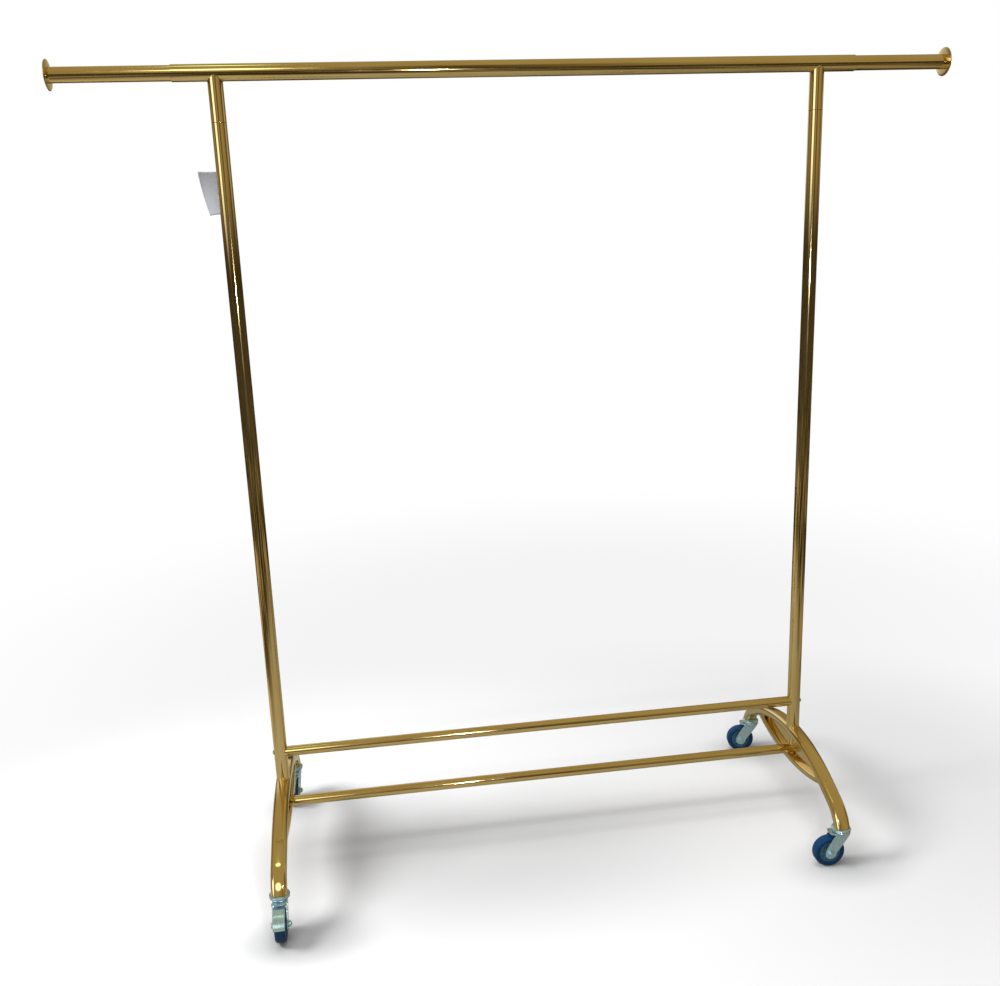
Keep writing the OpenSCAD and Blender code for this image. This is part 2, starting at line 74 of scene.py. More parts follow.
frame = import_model()
NODES = frame["nodes"]
JOINTS = {joint["name"]: joint for joint in frame["joints"]}
MM = 0.001
GAP = 0.05 * MM  # left between pieces that are fixed to each other
SLIVER = 0.002 * MM  # points nearer than this are one point after a cut
DRILL_DEPTH = 8 * MM
HOLE_ROOM = 0.8  # reach of the plain tube beside a hole, as a share of its diameter
BEAD_LIFT = 0.1 * MM  # a bead's middle above the faces that it joins
BEAD_BACK = 0.0012  # angle from a bow's end back to its bead
RIPPLE_POINTS = 6
FORK_TOP = 87 * MM
ARM_BACK = 15.2 * MM  # behind the swivel axis, at a fork arm's top
ARM_FRONT = 19 * MM
CROWN_R = 22 * MM
NOSE_REACH = 31 * MM
NOSE_ROUND = 9 * MM
PEDAL_PIN = (17 * MM, 0, 79 * MM)
BALL_R = 2.4 * MM
RACE_R = 16.56 * MM
RIB_MIDDLE = 16.4 * MM
BUSH_R = 6 * MM
BUSH_BORE = 4.06 * MM
LABEL_REACH = 40 * MM  # free width of the label
LABEL_PAPER = 0.22 * MM
FLOOR_REACH = 30.0


def centre(node):
    """Middle of a CAD node's box"""
    low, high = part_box(node)
    return (low + high) / 2


def span(node):
    """Size of a CAD node's box"""
    low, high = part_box(node)
    return high - low


RAIL_Z = centre("hang_rail").z
RAIL_R = span("hang_rail").z / 2
RAIL_HALF = span("hang_rail").x / 2
UPRIGHT_X = centre("right_upright").x
UPRIGHT_R = span("right_upright").x / 2
SEAM_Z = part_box("right_neck")[0].z
PULL_OUT_R = span("right_pull_out_tube").z / 2
FLANGE_R = span("right_end_flange").z / 2
STRETCHER_R = span("upper_stretcher").z / 2
UPPER_Z = centre("upper_stretcher").z
LOWER_Z = centre("lower_stretcher").z
ARCH_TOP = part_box("right_leg_arch")[1].z
ARCH_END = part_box("right_leg_arch")[0].z
ARCH_HALF_W = span("right_leg_arch").x / 2
BOW_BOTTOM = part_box("right_leg_bow")[0].z
POST_R = span("right_leg_post").x / 2
POST_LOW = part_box("right_leg_post")[0].z
POST_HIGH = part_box("right_leg_post")[1].z
WHEEL_R = span("front_right_tyre").z / 2
WHEEL_W = span("front_right_tyre").y
HUB_R = span("front_right_hub").z / 2
SIDES = (("left", -1), ("right", 1))
CORNERS = ("front_left", "front_right", "rear_left", "rear_right")
BRAKED = ("front_left", "rear_left")


def number(name, about, value, unit="LENGTH", low=0.0):
    """A size that a user may change"""
    return bpy.props.FloatProperty(
        name=name, description=about, default=value, unit=unit, min=low, precision=4
    )


def count(name, about, value):
    """A number of like pieces that a user may change"""
    return bpy.props.IntProperty(name=name, description=about, default=value, min=3)


def share(name, about, value):
    """A share from 0 to 1 that a user may change"""
    return bpy.props.FloatProperty(
        name=name, description=about, default=value, subtype="FACTOR", min=0.0, max=1.0
    )


def colour(name, about, value):
    """A colour that a user may change"""
    return bpy.props.FloatVectorProperty(
        name=name, description=about, default=value, subtype="COLOR", size=3, min=0.0, max=1.0
    )


class RackTubeSizes(bpy.types.PropertyGroup):
    """Sizes of the tubes that the frame doesn't give"""

    rail_wall: number("Rail Wall", "Wall of the rail", 1.2 * MM)
    pull_out_wall: number("Pull-out Wall", "Wall of the pull-outs", 1.2 * MM)
    upright_wall: number("Upright Wall", "Wall of the uprights and necks", 1.5 * MM)
    stretcher_wall: number("Stretcher Wall", "Wall of the stretchers", 1.2 * MM)
    edge: number("Edge Round", "Rounding of a cut tube end", 0.35 * MM)
    hole: number("Latch Hole", "Diameter of a latch hole", 8 * MM)
    pitch: number("Latch Pitch", "Distance between latch holes", 50 * MM)
    accessory_hole: number("Accessory Hole", "Diameter of an accessory hole", 6 * MM)
    accessory_pitch: number("Accessory Pitch", "Distance between accessory holes", 97 * MM)
    accessory_low: number("Lowest Accessory Hole", "Height of the lowest accessory hole", 673 * MM)
    flange: number("Flange Thickness", "Thickness of an end flange", 2.6 * MM)


class RackLegSizes(bpy.types.PropertyGroup):
    """Sizes of the arched legs that the frame doesn't give"""

    arch_radius: number("Arch Radius", "Radius of the arch's top line", 480 * MM)
    arch_depth: number("Arch Depth", "Depth of the flat-oval arch tube", 24 * MM)
    arch_corner: number("Arch Corner", "Corner radius of the arch tube", 10 * MM)
    arch_wall: number("Arch Wall", "Wall of the arch tube", 1.5 * MM)
    slope: number("Arch Slope", "Slope where the long curve ends", math.radians(26), "ROTATION")
    straight: number("Arch Straight", "Straight stretch above the knee", 48.6 * MM)
    knee: number("Knee Radius", "Radius of the knee's top line", 96 * MM)
    bow_radius: number("Bow Radius", "Radius of the bow's lower line", 620 * MM)
    bow_depth: number("Bow Depth", "Depth of the flat-oval bow", 17 * MM)
    bow_width: number("Bow Width", "Width of the bow", 30 * MM)
    bow_corner: number("Bow Corner", "Corner radius of the bow", 6 * MM)
    bead: number("Weld Bead", "Radius of a polished weld bead", 0.9 * MM)


class RackCasterSizes(bpy.types.PropertyGroup):
    """Sizes of the casters that the frame doesn't give"""

    trail: number("Trail", "Distance from the swivel axis to the axle", 30 * MM)
    sheet: number("Fork Sheet", "Thickness of the fork's steel", 2.5 * MM)
    arm: number("Arm Offset", "Distance from the wheel's middle to an arm", 14 * MM)
    balls: count("Balls", "Balls in a swivel race", 12)
    ribs: count("Hub Ribs", "Ribs on each side of a hub", 9)
    pedal_gap: number("Pedal Gap", "Gap between a pressed pedal and its tyre", 0.35 * MM)
    pedal_lift: number("Pedal Lift", "Angle that a pedal stands up", math.radians(7), "ROTATION")


class RackFinish(bpy.types.PropertyGroup):
    """Colours and finishes of the rack"""

    gold: colour("Gold", "Plating on the tubes", (0.80, 0.63, 0.31))
    gold_deep: colour("Deep Gold", "Thicker plating in the hollows", (0.68, 0.50, 0.20))
    zinc: colour("Zinc", "Zinc plating on the casters", (0.54, 0.74, 0.86))
    zinc_blue: colour("Blue Zinc", "Bluer patches of the zinc", (0.42, 0.63, 0.79))
    tyre: colour("Tyre", "Navy tyre", (0.002, 0.034, 0.105))
    hub: colour("Hub", "Grey-blue hub", (0.045, 0.15, 0.27))
    # the label's grey is painted shade: the paper is darkened as if it stood in shadow
    paper: colour("Paper", "Price label", (0.37, 0.38, 0.41))
    gold_polish: share("Gold Roughness", "Roughness of the polished gold", 0.065)
    zinc_polish: share("Zinc Roughness", "Roughness of the zinc", 0.17)


SETTINGS = {
    "rack_tubes": RackTubeSizes,
    "rack_legs": RackLegSizes,
    "rack_casters": RackCasterSizes,
    "rack_finish": RackFinish,
}


class Field:
    """A node socket that Python operators can reckon with"""

    def __init__(self, nodes, socket):
        self.nodes, self.socket = nodes, socket

    def math(self, operation, *others):
        return self.nodes.add("ShaderNodeMath", {"operation": operation}, [self, *others])

    def __add__(self, other):
        return self.math("ADD", other)

    def __rsub__(self, other):
        return self.nodes.add("ShaderNodeMath", {"operation": "SUBTRACT"}, [other, self])

    def __mul__(self, other):
        return self.math("MULTIPLY", other)

    def __truediv__(self, other):
        return self.math("DIVIDE", other)

    __radd__ = __add__
    __rmul__ = __mul__

    def step(self, low, high):
        """0 below low and 1 above high, smooth between them"""
        settings = {"interpolation_type": "SMOOTHSTEP"}
        return self.nodes.add("ShaderNodeMapRange", settings, [self, low, high])


class NodeMaker:
    """Makes the nodes of one tree"""

    def make(self, kind, settings=None, values=()):
        """A node with its settings made first and then its sockets, by place or by name"""
        node = self.tree.nodes.new(kind)
        for key, value in (settings or {}).items():
            if key == "stops":
                ramp = node.color_ramp.elements
                while len(ramp) < len(value):
                    ramp.new(1.0)
                for element, (place, shade) in zip(ramp, value):
                    element.position, element.color = place, (*shade, 1.0)
            else:
                setattr(node, key, value)
        pairs = values.items() if isinstance(values, dict) else enumerate(values)
        for key, value in pairs:
            if isinstance(value, Field):
                self.tree.links.new(value.socket, node.inputs[key])
            else:
                node.inputs[key].default_value = value
        return node

    def add(self, kind, settings=None, values=(), output=0):
        return Field(self, self.make(kind, settings, values).outputs[output])


class Shading(NodeMaker):
    """The nodes of one material or world, and the colours and finishes that it takes"""

    def __init__(self, owner):
        self.owner, self.look = owner, bpy.context.scene.rack_finish
        owner.use_nodes = True
        self.tree = owner.node_tree
        self.tree.nodes.clear()

    def mix(self, factor, first, second):
        """Colour from first to second"""
        values = {0: factor, 6: first, 7: second}
        return self.add("ShaderNodeMix", {"data_type": "RGBA"}, values, output=2)

    def place(self, scale=(1, 1, 1), turn=(0, 0, 0)):
        """The object's own coordinates, stretched and turned"""
        here = self.add("ShaderNodeTexCoord", {}, output=3)
        return self.add("ShaderNodeMapping", {}, {"Vector": here, "Scale": scale, "Rotation": turn})

    def apart(self, where, scale, middle=(0, 0, 0)):
        """Distance from a middle, stretched by a scale"""
        spot = self.add("ShaderNodeVectorMath", {"operation": "SUBTRACT"}, [where, middle])
        spot = self.add("ShaderNodeVectorMath", {"operation": "MULTIPLY"}, [spot, scale])
        return self.add("ShaderNodeVectorMath", {"operation": "LENGTH"}, [spot], output=1)

    def noise(self, where, scale, detail=3.0, rough=0.5):
        values = {"Vector": where, "Scale": scale, "Detail": detail, "Roughness": rough}
        return self.add("ShaderNodeTexNoise", {}, values)

    def finish(self, base, rough, height=None, depth=0.0, reach=0.0002, **constants):
        """Principled surface with everything linked to it"""
        values = {"Base Color": base, "Roughness": rough}
        if height is not None:
            values["Normal"] = self.add(
                "ShaderNodeBump", {}, {"Strength": depth, "Distance": reach, "Height": height}
            )
        values.update({key.replace("_", " "): value for key, value in constants.items()})
        shader = self.add("ShaderNodeBsdfPrincipled", {}, values)
        self.make("ShaderNodeOutputMaterial", {}, [shader])
        return self.owner


def rgba(shade):
    return (*shade, 1.0)


def surface(name):
    """The nodes of a new material"""
    return Shading(bpy.data.materials.new(name))


def gold_plating(name, stretch):
    """Mirror-bright plating with faint drawing lines along the tube, wiping marks and dust"""
    nodes = surface(name)
    lines = nodes.noise(nodes.place(stretch), 1.0, 4.0, 0.6)
    plain = nodes.place()
    smears = nodes.noise(nodes.place((3, 3, 1.4), (0.3, 0.5, 0.2)), 3.4, 4.0, 0.62).step(0.45, 0.75)
    dust = nodes.noise(plain, 900.0, 2.0, 0.7).step(0.66, 0.78)
    tint = nodes.noise(plain, 5.0, 3.0).step(0.35, 0.7)
    base = nodes.mix(tint * 0.45, rgba(nodes.look.gold), rgba(nodes.look.gold_deep))
    rough = nodes.look.gold_polish + lines * 0.03 + smears * 0.05 + dust * 0.08
    waves = nodes.noise(nodes.place((2, 2, 2)), 9.0, 2.0)
    return nodes.finish(base, rough, lines * 0.025 + waves * 1.6, 0.05, 0.0003, Metallic=1.0)


def zinc_plating():
    """Blue-bright zinc with cloudy patches, tumbling marks and a dull film"""
    nodes = surface("Bright zinc")
    here = nodes.place()
    clouds = nodes.noise(here, 60.0, 4.0, 0.6).step(0.35, 0.68)
    grains = nodes.add("ShaderNodeTexVoronoi", {}, {"Vector": here, "Scale": 900.0})
    marks = nodes.noise(nodes.place((1, 1, 8), (0.4, 0.2, 0)), 420.0, 2.0, 0.7)
    base = nodes.mix(clouds, rgba(nodes.look.zinc), rgba(nodes.look.zinc_blue))
    rough = nodes.look.zinc_polish + clouds * 0.08 + marks * 0.1
    return nodes.finish(base, rough, grains * 0.5 + marks, 0.05, Metallic=0.88)


def tyre_rubber():
    """Satin navy elastomer with moulding texture, and scuffed dust where it rolls"""
    nodes = surface("Navy tyre")
    here = nodes.place()
    pores = nodes.noise(here, 1500.0, 3.0, 0.7)
    blotch = nodes.noise(here, 90.0, 4.0, 0.6).step(0.4, 0.72)
    dust = nodes.noise(here, 260.0, 5.0, 0.7).step(0.56, 0.74)
    worn = nodes.mix(blotch * 0.4, rgba(nodes.look.tyre), (0.004, 0.062, 0.17, 1))
    base = nodes.mix(dust * 0.09, worn, (0.10, 0.15, 0.24, 1))
    rough = 0.34 + blotch * 0.12 + dust * 0.2
    return nodes.finish(base, rough, pores, 0.12, Specular_IOR_Level=0.22)


def hub_plastic():
    """Moulded grey-blue nylon with a fine sparkle finish"""
    nodes = surface("Hub nylon")
    here = nodes.place()
    grain = nodes.noise(here, 1800.0, 2.0, 0.6)
    flow = nodes.noise(here, 70.0, 3.0, 0.5).step(0.35, 0.7)
    base = nodes.mix(flow * 0.5, rgba(nodes.look.hub), (0.11, 0.19, 0.25, 1))
    return nodes.finish(base, 0.36 + grain * 0.16, grain, 0.10)


def plain_steel(name, shade, polish, scale):
    """Machined or ground steel"""
    nodes = surface(name)
    grain = nodes.noise(nodes.place((1, 1, 6)), scale, 3.0, 0.6)
    base = nodes.mix(grain * 0.4, rgba(shade), (shade[0] * 0.7, shade[1] * 0.7, shade[2] * 0.7, 1))
    return nodes.finish(base, polish + grain * 0.12, grain, 0.05, Metallic=1.0)


def shaded_label_paper():
    """Thin coated paper with fibres that show through"""
    nodes = surface("Label paper")
    fibres = nodes.noise(nodes.place((1, 1, 3), (0.2, 0.6, 0.3)), 700.0, 5.0, 0.7)
    cloud = nodes.noise(nodes.place(), 60.0, 3.0)
    shade = nodes.mix(fibres.step(0.4, 0.7) * 0.5, rgba(nodes.look.paper), (0.31, 0.32, 0.36, 1))
    base = nodes.mix(cloud * 0.25, shade, (0.46, 0.46, 0.48, 1))
    return nodes.finish(base, 0.55 + fibres * 0.2, fibres, 0.15)


MATERIALS = {}


def material(name):
    """The rack's material of that name, made when it is first asked for"""
    makers = {
        "gold_x": lambda: gold_plating("Gold along rail", (3, 700, 700)),
        "gold_z": lambda: gold_plating("Gold along upright", (700, 700, 3)),
        "gold_y": lambda: gold_plating("Gold along leg", (500, 6, 60)),
        "zinc": zinc_plating,
        "tyre": tyre_rubber,
        "hub": hub_plastic,
        "balls": lambda: plain_steel("Race balls", (0.78, 0.78, 0.80), 0.06, 600.0),
        "inside": lambda: plain_steel("Bare steel", (0.42, 0.43, 0.45), 0.3, 300.0),
        "paper": shaded_label_paper,
    }
    if name not in MATERIALS:
        MATERIALS[name] = makers[name]()
    return MATERIALS[name]


BODY = {node: item["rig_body"] for node, item in NODES.items()}


def tidy(mesh, angle=35.0):
    """Smooth shading that breaks at real edges"""
    mesh.shade_smooth()
    mesh.set_sharp_from_angle(angle=math.radians(angle))


def make_piece(name, mesh, finish, node, place=None):
    """Names a finished mesh, gives it its material and sets it in for its CAD node"""
    if place is not None:
        mesh.transform(place)
    mesh.name = name
    mesh.materials.clear()
    mesh.materials.append(material(finish))
    tidy(mesh)
    piece = bpy.data.objects.new(name, mesh)
    bpy.context.scene.collection.objects.link(piece)
    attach(piece, BODY[node])
    if not name.endswith("_weld"):
        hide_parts(node)
    return piece


def mesh_of(shape):
    """Plain mesh of a bmesh, which is freed"""
    mesh = bpy.data.meshes.new("shape")
    shape.to_mesh(mesh)
    shape.free()
    return mesh


def evaluated(item):
    """Plain mesh of an object with its modifiers applied, after which the object is removed"""
    bpy.context.view_layer.update()
    ready = item.evaluated_get(bpy.context.evaluated_depsgraph_get())
    made = bpy.data.meshes.new_from_object(ready)
    bpy.data.objects.remove(item)
    return made


def helper(mesh):
    """A passing object that holds a mesh"""
    item = bpy.data.objects.new("helper", mesh)
    bpy.context.scene.collection.objects.link(item)
    return item


def strip(shape, lower, upper, closed=False):
    """Faces between two rows of as many points"""
    for k in range(len(lower) - (not closed)):
        j = (k + 1) % len(lower)
        shape.faces.new((lower[k], lower[j], upper[j], upper[k]))


def rings_mesh(rings, closed=False):
    """Mesh through rings of points; one point alone is a pole, and closed joins last to first"""
    shape = bmesh.new()
    made = [[shape.verts.new(point) for point in ring] for ring in rings]
    pairs = list(zip(made, made[1:])) + ([(made[-1], made[0])] if closed else [])
    for lower, upper in pairs:
        most = max(len(lower), len(upper))
        for i in range(most):
            j = (i + 1) % most
            round_face = ((lower, i), (lower, j), (upper, j), (upper, i))
            corners = list(dict.fromkeys(ring[k % len(ring)] for ring, k in round_face))
            if len(corners) > 2:
                shape.faces.new(corners)
    bmesh.ops.recalc_face_normals(shape, faces=shape.faces)
    return mesh_of(shape)


def around(steps):
    """Even angles once round"""
    return [math.tau * k / steps for k in range(steps)]


def hexagonal(angle):
    """How far a hexagon reaches at an angle, as a share of its corners' radius"""
    side = math.radians(60)
    return math.cos(side / 2) / math.cos((angle % side) - side / 2)


def lathe_rings(profile, steps):
    """Rings of (radius, height) points round Z; a radius of 0 is a pole"""
    return [
        [(r * math.cos(a), r * math.sin(a), z) for a in around(steps)] if r else [(0, 0, z)]
        for r, z in profile
    ]


def lathe(profile, closed=False, steps=96):
    """Turns (radius, height) points round Z; a radius of 0 is a pole"""
    return rings_mesh(lathe_rings(profile, steps), closed)


def joined(*meshes):
    """One mesh of several"""
    shape = bmesh.new()
    for mesh in meshes:
        shape.from_mesh(mesh)
    return mesh_of(shape)


def moved(mesh, *matrices):
    for matrix in matrices:
        mesh.transform(matrix)
    return mesh


def shift(x=0.0, y=0.0, z=0.0):
    return Matrix.Translation((x, y, z))


def turn(angle, axis):
    return Matrix.Rotation(angle, 4, axis)


ALONG_X = turn(math.radians(90), "Y")
ALONG_Y = turn(math.radians(-90), "X")


def tube(radius, bore, start, end, edge, steps=128, holes=()):
    """Tube along Z with ends at heights that may depend on the place, and rings beside its holes"""
    hold, third, half = edge * 2.5, edge * 0.3, edge * 0.5
    stops = sorted(place + side for place, reach in holes for side in (-reach, reach))
    profile = [
        (radius, start, edge), (radius, start, hold),
        *((radius, stop, 0.0) for stop in stops),
        (radius, end, -hold), (radius, end, -edge), (radius - third, end, -third),
        (radius - edge, end, 0.0), (bore + half, end, 0.0), (bore, end, -half), (bore, end, -hold),
        *((bore, stop, 0.0) for stop in reversed(stops)),
        (bore, start, hold), (bore, start, half), (bore + half, start, 0.0),
        (radius - edge, start, 0.0), (radius - third, start, third),
    ]
    rings = []
    for ring_radius, limit, inset in profile:
        places = [(ring_radius * math.cos(a), ring_radius * math.sin(a)) for a in around(steps)]
        height = limit if callable(limit) else lambda x, y, flat=limit: flat
        rings.append([(x, y, height(x, y) + inset) for x, y in places])
    return rings_mesh(rings, closed=True)


class GeometryTree(NodeMaker):
    """A geometry node tree with named inputs"""

    def __init__(self, name, sizes):
        self.tree = bpy.data.node_groups.new(name, "GeometryNodeTree")
        face = self.tree.interface
        for label, kind in {"Geometry": "Geometry", **sizes, "Material": "Material"}.items():
            face.new_socket(label, in_out="INPUT", socket_type="NodeSocket" + kind)
        face.new_socket("Geometry", in_out="OUTPUT", socket_type="NodeSocketGeometry")
        asked = self.make("NodeGroupInput").outputs
        self.ask = {socket.name: Field(self, socket) for socket in asked}

    def shape(self, name):
        """Mesh of the object that an input names"""
        return self.add("GeometryNodeObjectInfo", {}, {"Object": self.ask[name]}, "Geometry")

    def copies(self, points, shape, facing):
        """A shape at every point, turned by an angle"""
        values = {"Points": points, "Instance": shape, "Rotation": facing}
        return self.add("GeometryNodeInstanceOnPoints", {}, values)

    def real(self, geometry):
        return self.add("GeometryNodeRealizeInstances", {}, {"Geometry": geometry})

    def close(self, geometry):
        """Realizes the result, gives it its material and ends the tree"""
        values = {"Geometry": self.real(geometry), "Material": self.ask["Material"]}
        painted = self.add("GeometryNodeSetMaterial", {}, values)
        self.make("NodeGroupOutput", {}, {"Geometry": painted})

    def grow(self, mesh, values):
        """Plain mesh that the tree makes of a mesh"""
        holder = helper(mesh)
        modifier = holder.modifiers.new("Rule", "NODES")
        modifier.node_group = self.tree
        for item in self.tree.interface.items_tree:
            if item.in_out == "INPUT" and item.name in values:
                modifier[item.identifier] = values[item.name]
        made = evaluated(holder)
        if not made.polygons:
            raise RuntimeError(self.tree.name + " made no faces")
        return made


TREES = {}


def drilled_tree():
    """Holes at each point of a second object, cut out of a tube"""
    sizes = {"Marks": "Object", "Diameter": "Float", "Depth": "Float", "Turn": "Vector"}
    tree = GeometryTree("Drilled tube", sizes)
    ask = tree.ask
    values = {"Vertices": 48, "Radius": ask["Diameter"] * 0.5, "Depth": ask["Depth"]}
    plug = tree.add("GeometryNodeMeshCylinder", {}, values)
    plugs = tree.real(tree.copies(tree.shape("Marks"), plug, ask["Turn"]))
    settings = {"operation": "DIFFERENCE", "solver": "EXACT"}
    tree.close(tree.add("GeometryNodeMeshBoolean", settings, [ask["Geometry"], plugs]))
    return tree


def bead_tree():
    """A rippled bead that follows a loop"""
    tree = GeometryTree("Weld bead", {"Radius": "Float", "Ripples": "Int", "Depth": "Float"})
    ask = tree.ask
    loop = tree.add("GeometryNodeMeshToCurve", {}, {"Mesh": ask["Geometry"]})
    values = {"Curve": loop, "Count": ask["Ripples"] * float(RIPPLE_POINTS)}
    loop = tree.add("GeometryNodeResampleCurve", {}, values)
    phase = tree.add("GeometryNodeInputIndex") * (math.tau / RIPPLE_POINTS)
    radius = phase.math("SINE") * ask["Depth"] + 1.0
    loop = tree.add("GeometryNodeSetCurveRadius", {}, {"Curve": loop, "Radius": radius})
    values = {"Resolution": 10, "Radius": ask["Radius"]}
    circle = tree.add("GeometryNodeCurvePrimitiveCircle", {}, values)
    sweep = tree.make("GeometryNodeCurveToMesh", {}, {"Curve": loop, "Profile Curve": circle})
    if "Scale" in sweep.inputs:
        tree.tree.links.new(radius.socket, sweep.inputs["Scale"])
    tree.close(Field(tree, sweep.outputs[0]))
    return tree


def ring_tree():
    """Copies of a shape round a circle, each turned to face the middle"""
    tree = GeometryTree("Ring of copies", {"Shape": "Object", "Radius": "Float", "Count": "Int"})
    ask = tree.ask
    values = {"Vertices": ask["Count"], "Radius": ask["Radius"]}
    circle = tree.add("GeometryNodeMeshCircle", {}, values)
    angle = tree.add("GeometryNodeInputIndex") / ask["Count"] * math.tau
    facing = tree.add("ShaderNodeCombineXYZ", {}, {"Z": angle})
    tree.close(tree.copies(circle, tree.shape("Shape"), facing))
    return tree


def points_tree():
    """Copies of a shape at points, each turned by the point's own angles"""
    tree = GeometryTree("Screws at points", {"Shape": "Object"})
    settings = {"data_type": "FLOAT_VECTOR"}
    facing = tree.add("GeometryNodeInputNamedAttribute", settings, {"Name": "facing"})
    tree.close(tree.copies(tree.ask["Geometry"], tree.shape("Shape"), facing))
    return tree


def rule(name):
    """The geometry tree of that name, made when it is first asked for"""
    makers = {"drilled": drilled_tree, "bead": bead_tree, "ring": ring_tree, "points": points_tree}
    if name not in TREES:
        TREES[name] = makers[name]()
    return TREES[name]


def points_mesh(points, facing=None, loop=False):
    """Loose points, or a closed wire through them"""
    mesh = bpy.data.meshes.new("points")
    edges = [(k, (k + 1) % len(points)) for k in range(len(points))] if loop else []
    mesh.from_pydata([tuple(p) for p in points], edges, [])
    if facing:
        angles = mesh.attributes.new("facing", "FLOAT_VECTOR", "POINT")
        for item, value in zip(angles.data, facing):
            item.vector = value
    return mesh


def drill(mesh, points, diameter, depth, facing, finish):
    """Cuts round holes through a tube's wall"""
    marks = helper(points_mesh(points))
    values = {"Marks": marks, "Diameter": diameter, "Depth": depth, "Turn": facing}
    values["Material"] = material(finish)
    cut = rule("drilled").grow(mesh, values)
    bpy.data.objects.remove(marks)
    shape = bmesh.new()
    shape.from_mesh(cut)
    bmesh.ops.remove_doubles(shape, verts=shape.verts, dist=SLIVER)
    bmesh.ops.dissolve_degenerate(shape, edges=shape.edges, dist=SLIVER)
    shape.to_mesh(cut)
    shape.free()
    return cut


def ring_of(mesh, radius, copies, finish):
    """Copies of a mesh round a circle"""
    shape = helper(mesh)
    values = {"Shape": shape, "Radius": radius, "Count": copies, "Material": material(finish)}
    made = rule("ring").grow(points_mesh([(0, 0, 0)]), values)
    bpy.data.objects.remove(shape)
    return made


def weld(name, loops, finish, node, radius=None):
    """Polished bead along closed loops, on the body of a node"""
    radius = radius or bpy.context.scene.rack_legs.bead
    beads = []
    for loop in loops:
        length = sum((Vector(a) - Vector(b)).length for a, b in zip(loop, loop[1:]))
        values = {"Radius": radius, "Ripples": max(6, int(length / (1.6 * MM))), "Depth": 0.1}
        values["Material"] = material(finish)
        beads.append(rule("bead").grow(points_mesh(loop, loop=True), values))
    make_piece(name + "_weld", joined(*beads), finish, node)


def build_rail(tubes):
    """Fixed rail with its latch holes, and the two pull-outs with their end flanges"""
    latch_x = abs(centre("right_latch_button").x)
    room = tubes.hole * HOLE_ROOM
    places = [side * (latch_x - step * tubes.pitch) for side in (-1, 1) for step in (0, 2, 3, 4, 5)]
    marks = [(x, 0, RAIL_Z - RAIL_R) for x in places]
    holes = [(x, room) for x in places]
    rail = tube(RAIL_R, RAIL_R - tubes.rail_wall, -RAIL_HALF, RAIL_HALF, tubes.edge, holes=holes)
    rail = moved(rail, ALONG_X, shift(z=RAIL_Z))
    rail = drill(rail, marks, tubes.hole, DRILL_DEPTH, (0, 0, 0), "gold_x")
    make_piece("hanging_rail", rail, "gold_x", "hang_rail")
    for side, sign in SIDES:
        low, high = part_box(side + "_pull_out_tube")
        bore, holes = PULL_OUT_R - tubes.pull_out_wall, [(sign * latch_x, room)]
        pull = tube(PULL_OUT_R, bore, low.x, high.x, tubes.edge, holes=holes)
        pull = moved(pull, ALONG_X, shift(z=RAIL_Z))
        mark = (sign * latch_x, 0, RAIL_Z - PULL_OUT_R)
        pull = drill(pull, [mark], tubes.hole, DRILL_DEPTH, (0, 0, 0), "gold_x")
        make_piece(side + "_pull_out", pull, "gold_x", side + "_pull_out_tube")
        place = end_place(high if sign > 0 else low, sign)
        make_piece(side + "_flange", flange(tubes), "gold_x", side + "_end_flange", place=place)
        place = shift(sign * latch_x, 0, RAIL_Z)
        make_piece(side + "_button", button(), "zinc", side + "_latch_button", place=place)


def end_place(corner, sign):
    """Turns a piece made along +Z to stand on a pull-out's end"""
    return shift(corner.x, 0, RAIL_Z) @ turn(math.radians(90 * sign), "Y")


def flange(tubes):
    """Round end stop, slightly dished, with a rolled rim and a plug that goes into the tube"""
    thick, bore = tubes.flange, PULL_OUT_R - tubes.pull_out_wall - GAP
    rim = thick / 2
    profile = [(0, 1.6 * MM), (9 * MM, 1.65 * MM), (20 * MM, 1.95 * MM)]
    profile.append((FLANGE_R - 2.5 * rim, 2.35 * MM))
    for k in range(7):
        angle = math.radians(100 - k * 32)
        height = 0.1 * MM + rim + rim * math.sin(angle)
        profile.append((FLANGE_R - rim + rim * math.cos(angle), height))
    profile += [(PULL_OUT_R + 2 * MM, 0.1 * MM), (PULL_OUT_R - 1 * MM, 0.05 * MM)]
    profile += [(bore, 0.02 * MM), (bore, -15 * MM), (bore - 1 * MM, -16 * MM)]
    profile += [(bore - 2 * MM, -16 * MM), (bore - 2 * MM, -1 * MM), (0, -1 * MM)]
    return lathe(profile)


def button():
    """Latch button below the pull-out's axis, with a domed tip"""
    reach = RAIL_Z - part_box("right_latch_button")[1].z
    tip = RAIL_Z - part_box("right_latch_button")[0].z
    radius, collar = 3.8 * MM, 5.2 * MM
    profile = [(0, -reach), (collar - 0.3 * MM, -reach), (collar, -reach - 0.3 * MM)]
    profile += [(collar, -reach - 1.2 * MM), (radius, -reach - 1.2 * MM), (radius, -tip + 1.4 * MM)]
    for k in range(1, 6):
        angle = math.radians(18 * k)
        out = radius * math.cos(angle) ** 0.6 if k < 5 else 0
        profile.append((out, -tip + 1.4 * MM * (1 - math.sin(angle))))
    return lathe(profile, steps=48)


def arch_height(x, y, lift=0.0):
    """Height of the arch's top surface at a point over the leg"""
    legs = bpy.context.scene.rack_legs
    flat = ARCH_HALF_W - legs.arch_corner
    over = max(0.0, abs(x) - flat)
    drop = legs.arch_corner - math.sqrt(max(0.0, legs.arch_corner**2 - over**2))
    radius = legs.arch_radius - drop + lift
    return ARCH_TOP - legs.arch_radius + math.sqrt(radius**2 - y**2)


def rail_underside(x, y, lift=0.0):
    """Height of the rail's underside at a distance y from its axis"""
    return RAIL_Z - math.sqrt((RAIL_R + lift) ** 2 - y**2)


